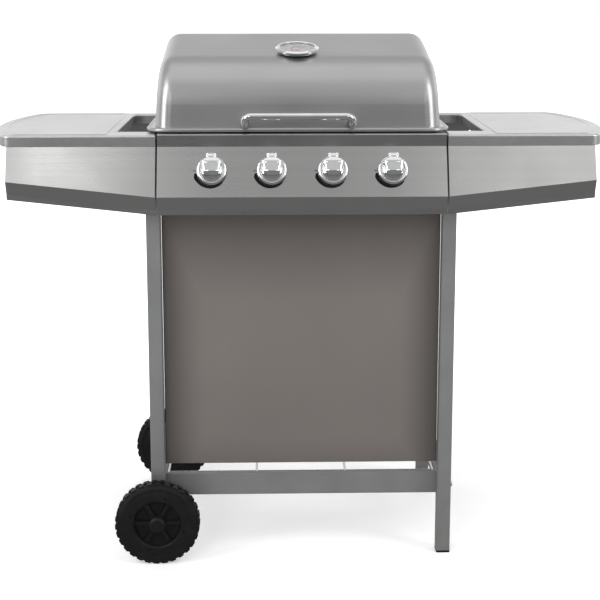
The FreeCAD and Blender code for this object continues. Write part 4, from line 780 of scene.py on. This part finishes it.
def build_sky():
    """Soft sky: dim towards the ground and in front, bright low behind; white where the camera sees it."""
    world = bpy.data.worlds.new("studio")
    bpy.context.scene.world = world
    world.use_nodes = True
    tree = world.node_tree
    sky = tree.nodes["Background"]
    coords = tree.nodes.new("ShaderNodeTexCoord")
    parts = tree.nodes.new("ShaderNodeSeparateXYZ")
    tree.links.new(coords.outputs["Generated"], parts.inputs["Vector"])
    height = tree.nodes.new("ShaderNodeMapRange")
    height.inputs["From Min"].default_value = -1.0
    tree.links.new(parts.outputs["Z"], height.inputs["Value"])
    behind = tree.nodes.new("ShaderNodeMapRange")
    behind.interpolation_type = "SMOOTHSTEP"
    behind.inputs["From Min"].default_value = -0.25
    behind.inputs["From Max"].default_value = 0.45
    tree.links.new(parts.outputs["Y"], behind.inputs["Value"])
    blend = tree.nodes.new("ShaderNodeMix")
    blend.data_type = "RGBA"
    tree.links.new(behind.outputs["Result"], blend.inputs[0])
    tree.links.new(sky_ramp(tree, height.outputs["Result"], FRONT_SKY), blend.inputs[6])
    tree.links.new(sky_ramp(tree, height.outputs["Result"], BACK_SKY), blend.inputs[7])
    tree.links.new(blend.outputs[2], sky.inputs["Color"])
    white = tree.nodes.new("ShaderNodeBackground")
    white.inputs["Color"].default_value = colour_of(1.0)
    choose = tree.nodes.new("ShaderNodeMixShader")
    rays = tree.nodes.new("ShaderNodeLightPath")
    tree.links.new(rays.outputs["Is Camera Ray"], choose.inputs["Fac"])
    tree.links.new(sky.outputs["Background"], choose.inputs[1])
    tree.links.new(white.outputs["Background"], choose.inputs[2])
    tree.links.new(choose.outputs["Shader"], tree.nodes["World Output"].inputs["Surface"])


def build_floor():
    """Pale floor that runs out to white away from the grill."""
    work = bmesh.new()
    bmesh.ops.create_circle(work, cap_ends=True, radius=FLOOR_RADIUS, segments=96)
    mesh = bpy.data.meshes.new("studio_floor")
    work.to_mesh(mesh)
    work.free()
    pale = Finish("floor_pale")
    pale.colour(pale.mix(pale.noise(3.0), 0.92, 0.95))
    pale.roughness(pale.spread(pale.noise(20.0), 0.8, 0.9))
    away = pale.node("ShaderNodeVectorMath", operation="LENGTH")
    pale.link(pale.coords, away.inputs[0])
    glow = pale.spread(away.outputs["Value"], 0.30, 1.0, 0.5, 1.5)
    pale.link(glow, pale.shader.inputs["Emission Strength"])
    pale.shader.inputs["Emission Color"].default_value = colour_of(1.0)
    mesh.materials.append(pale.material)
    floor = bpy.data.objects.new("studio_floor", mesh)
    floor.visible_glossy = False
    bpy.context.scene.collection.objects.link(floor)


def build_room():
    """Floor, sky and softboxes above, beside and behind the grill."""
    build_floor()
    build_sky()
    middle = (0.0, 0.0, 0.6)
    softbox("overhead", (0.0, -0.2, 2.9), (0.0, 0.05, 0.6), 2.6, 2.0, 7)
    softbox("left_side", (-2.2, -1.35, 1.75), (-0.25, 0.0, 0.85), 0.9, 2.2, 26)
    softbox("right_side", (2.2, -1.35, 1.75), (0.25, 0.0, 0.85), 0.9, 2.2, 22)
    softbox("front_fill", (-1.2, -3.4, 2.0), middle, 1.6, 1.6, 26, False)
    softbox("left_glow", (-1.05, -2.6, 1.95), (-0.4, -0.2, 0.7), 0.7, 1.0, 4.0)
    softbox("right_glow", (1.05, -2.6, 1.95), (0.4, -0.2, 0.7), 0.7, 1.0, 2.6)
    softbox("back_fill", (0.6, 3.2, 2.0), middle, 1.8, 1.4, 16, False)


def build_camera():
    camera = bpy.data.cameras.new("camera")
    camera.lens = CAMERA_LENS
    camera.sensor_width = SENSOR_WIDTH
    camera.shift_y = CAMERA_SHIFT
    camera.clip_end = 100.0
    holder = bpy.data.objects.new("camera", camera)
    holder.location = CAMERA_AT
    holder.rotation_euler = (math.radians(90 - CAMERA_PITCH), 0.0, math.radians(-CAMERA_TURN))
    bpy.context.scene.collection.objects.link(holder)
    bpy.context.scene.camera = holder
    bpy.context.scene.view_settings.view_transform = "Standard"


# ---------------------------------------------------------------- the whole scene
dress_cad_nodes()
build_camera()
build_room()
build_wheel("wheel_front", "wheel_front_spin", -1)
build_wheel("wheel_rear", "wheel_rear_spin", 1)
for knob_number in KNOBS:
    build_knob(knob_number)
    build_flame_print_and_shadow(knob_number)
build_heads("frame_bolts", lambda x: math.copysign(1, x))
build_heads("panel_screws", lambda x: -math.copysign(1, x))
build_dial_scale()

bpy.context.view_layer.update()
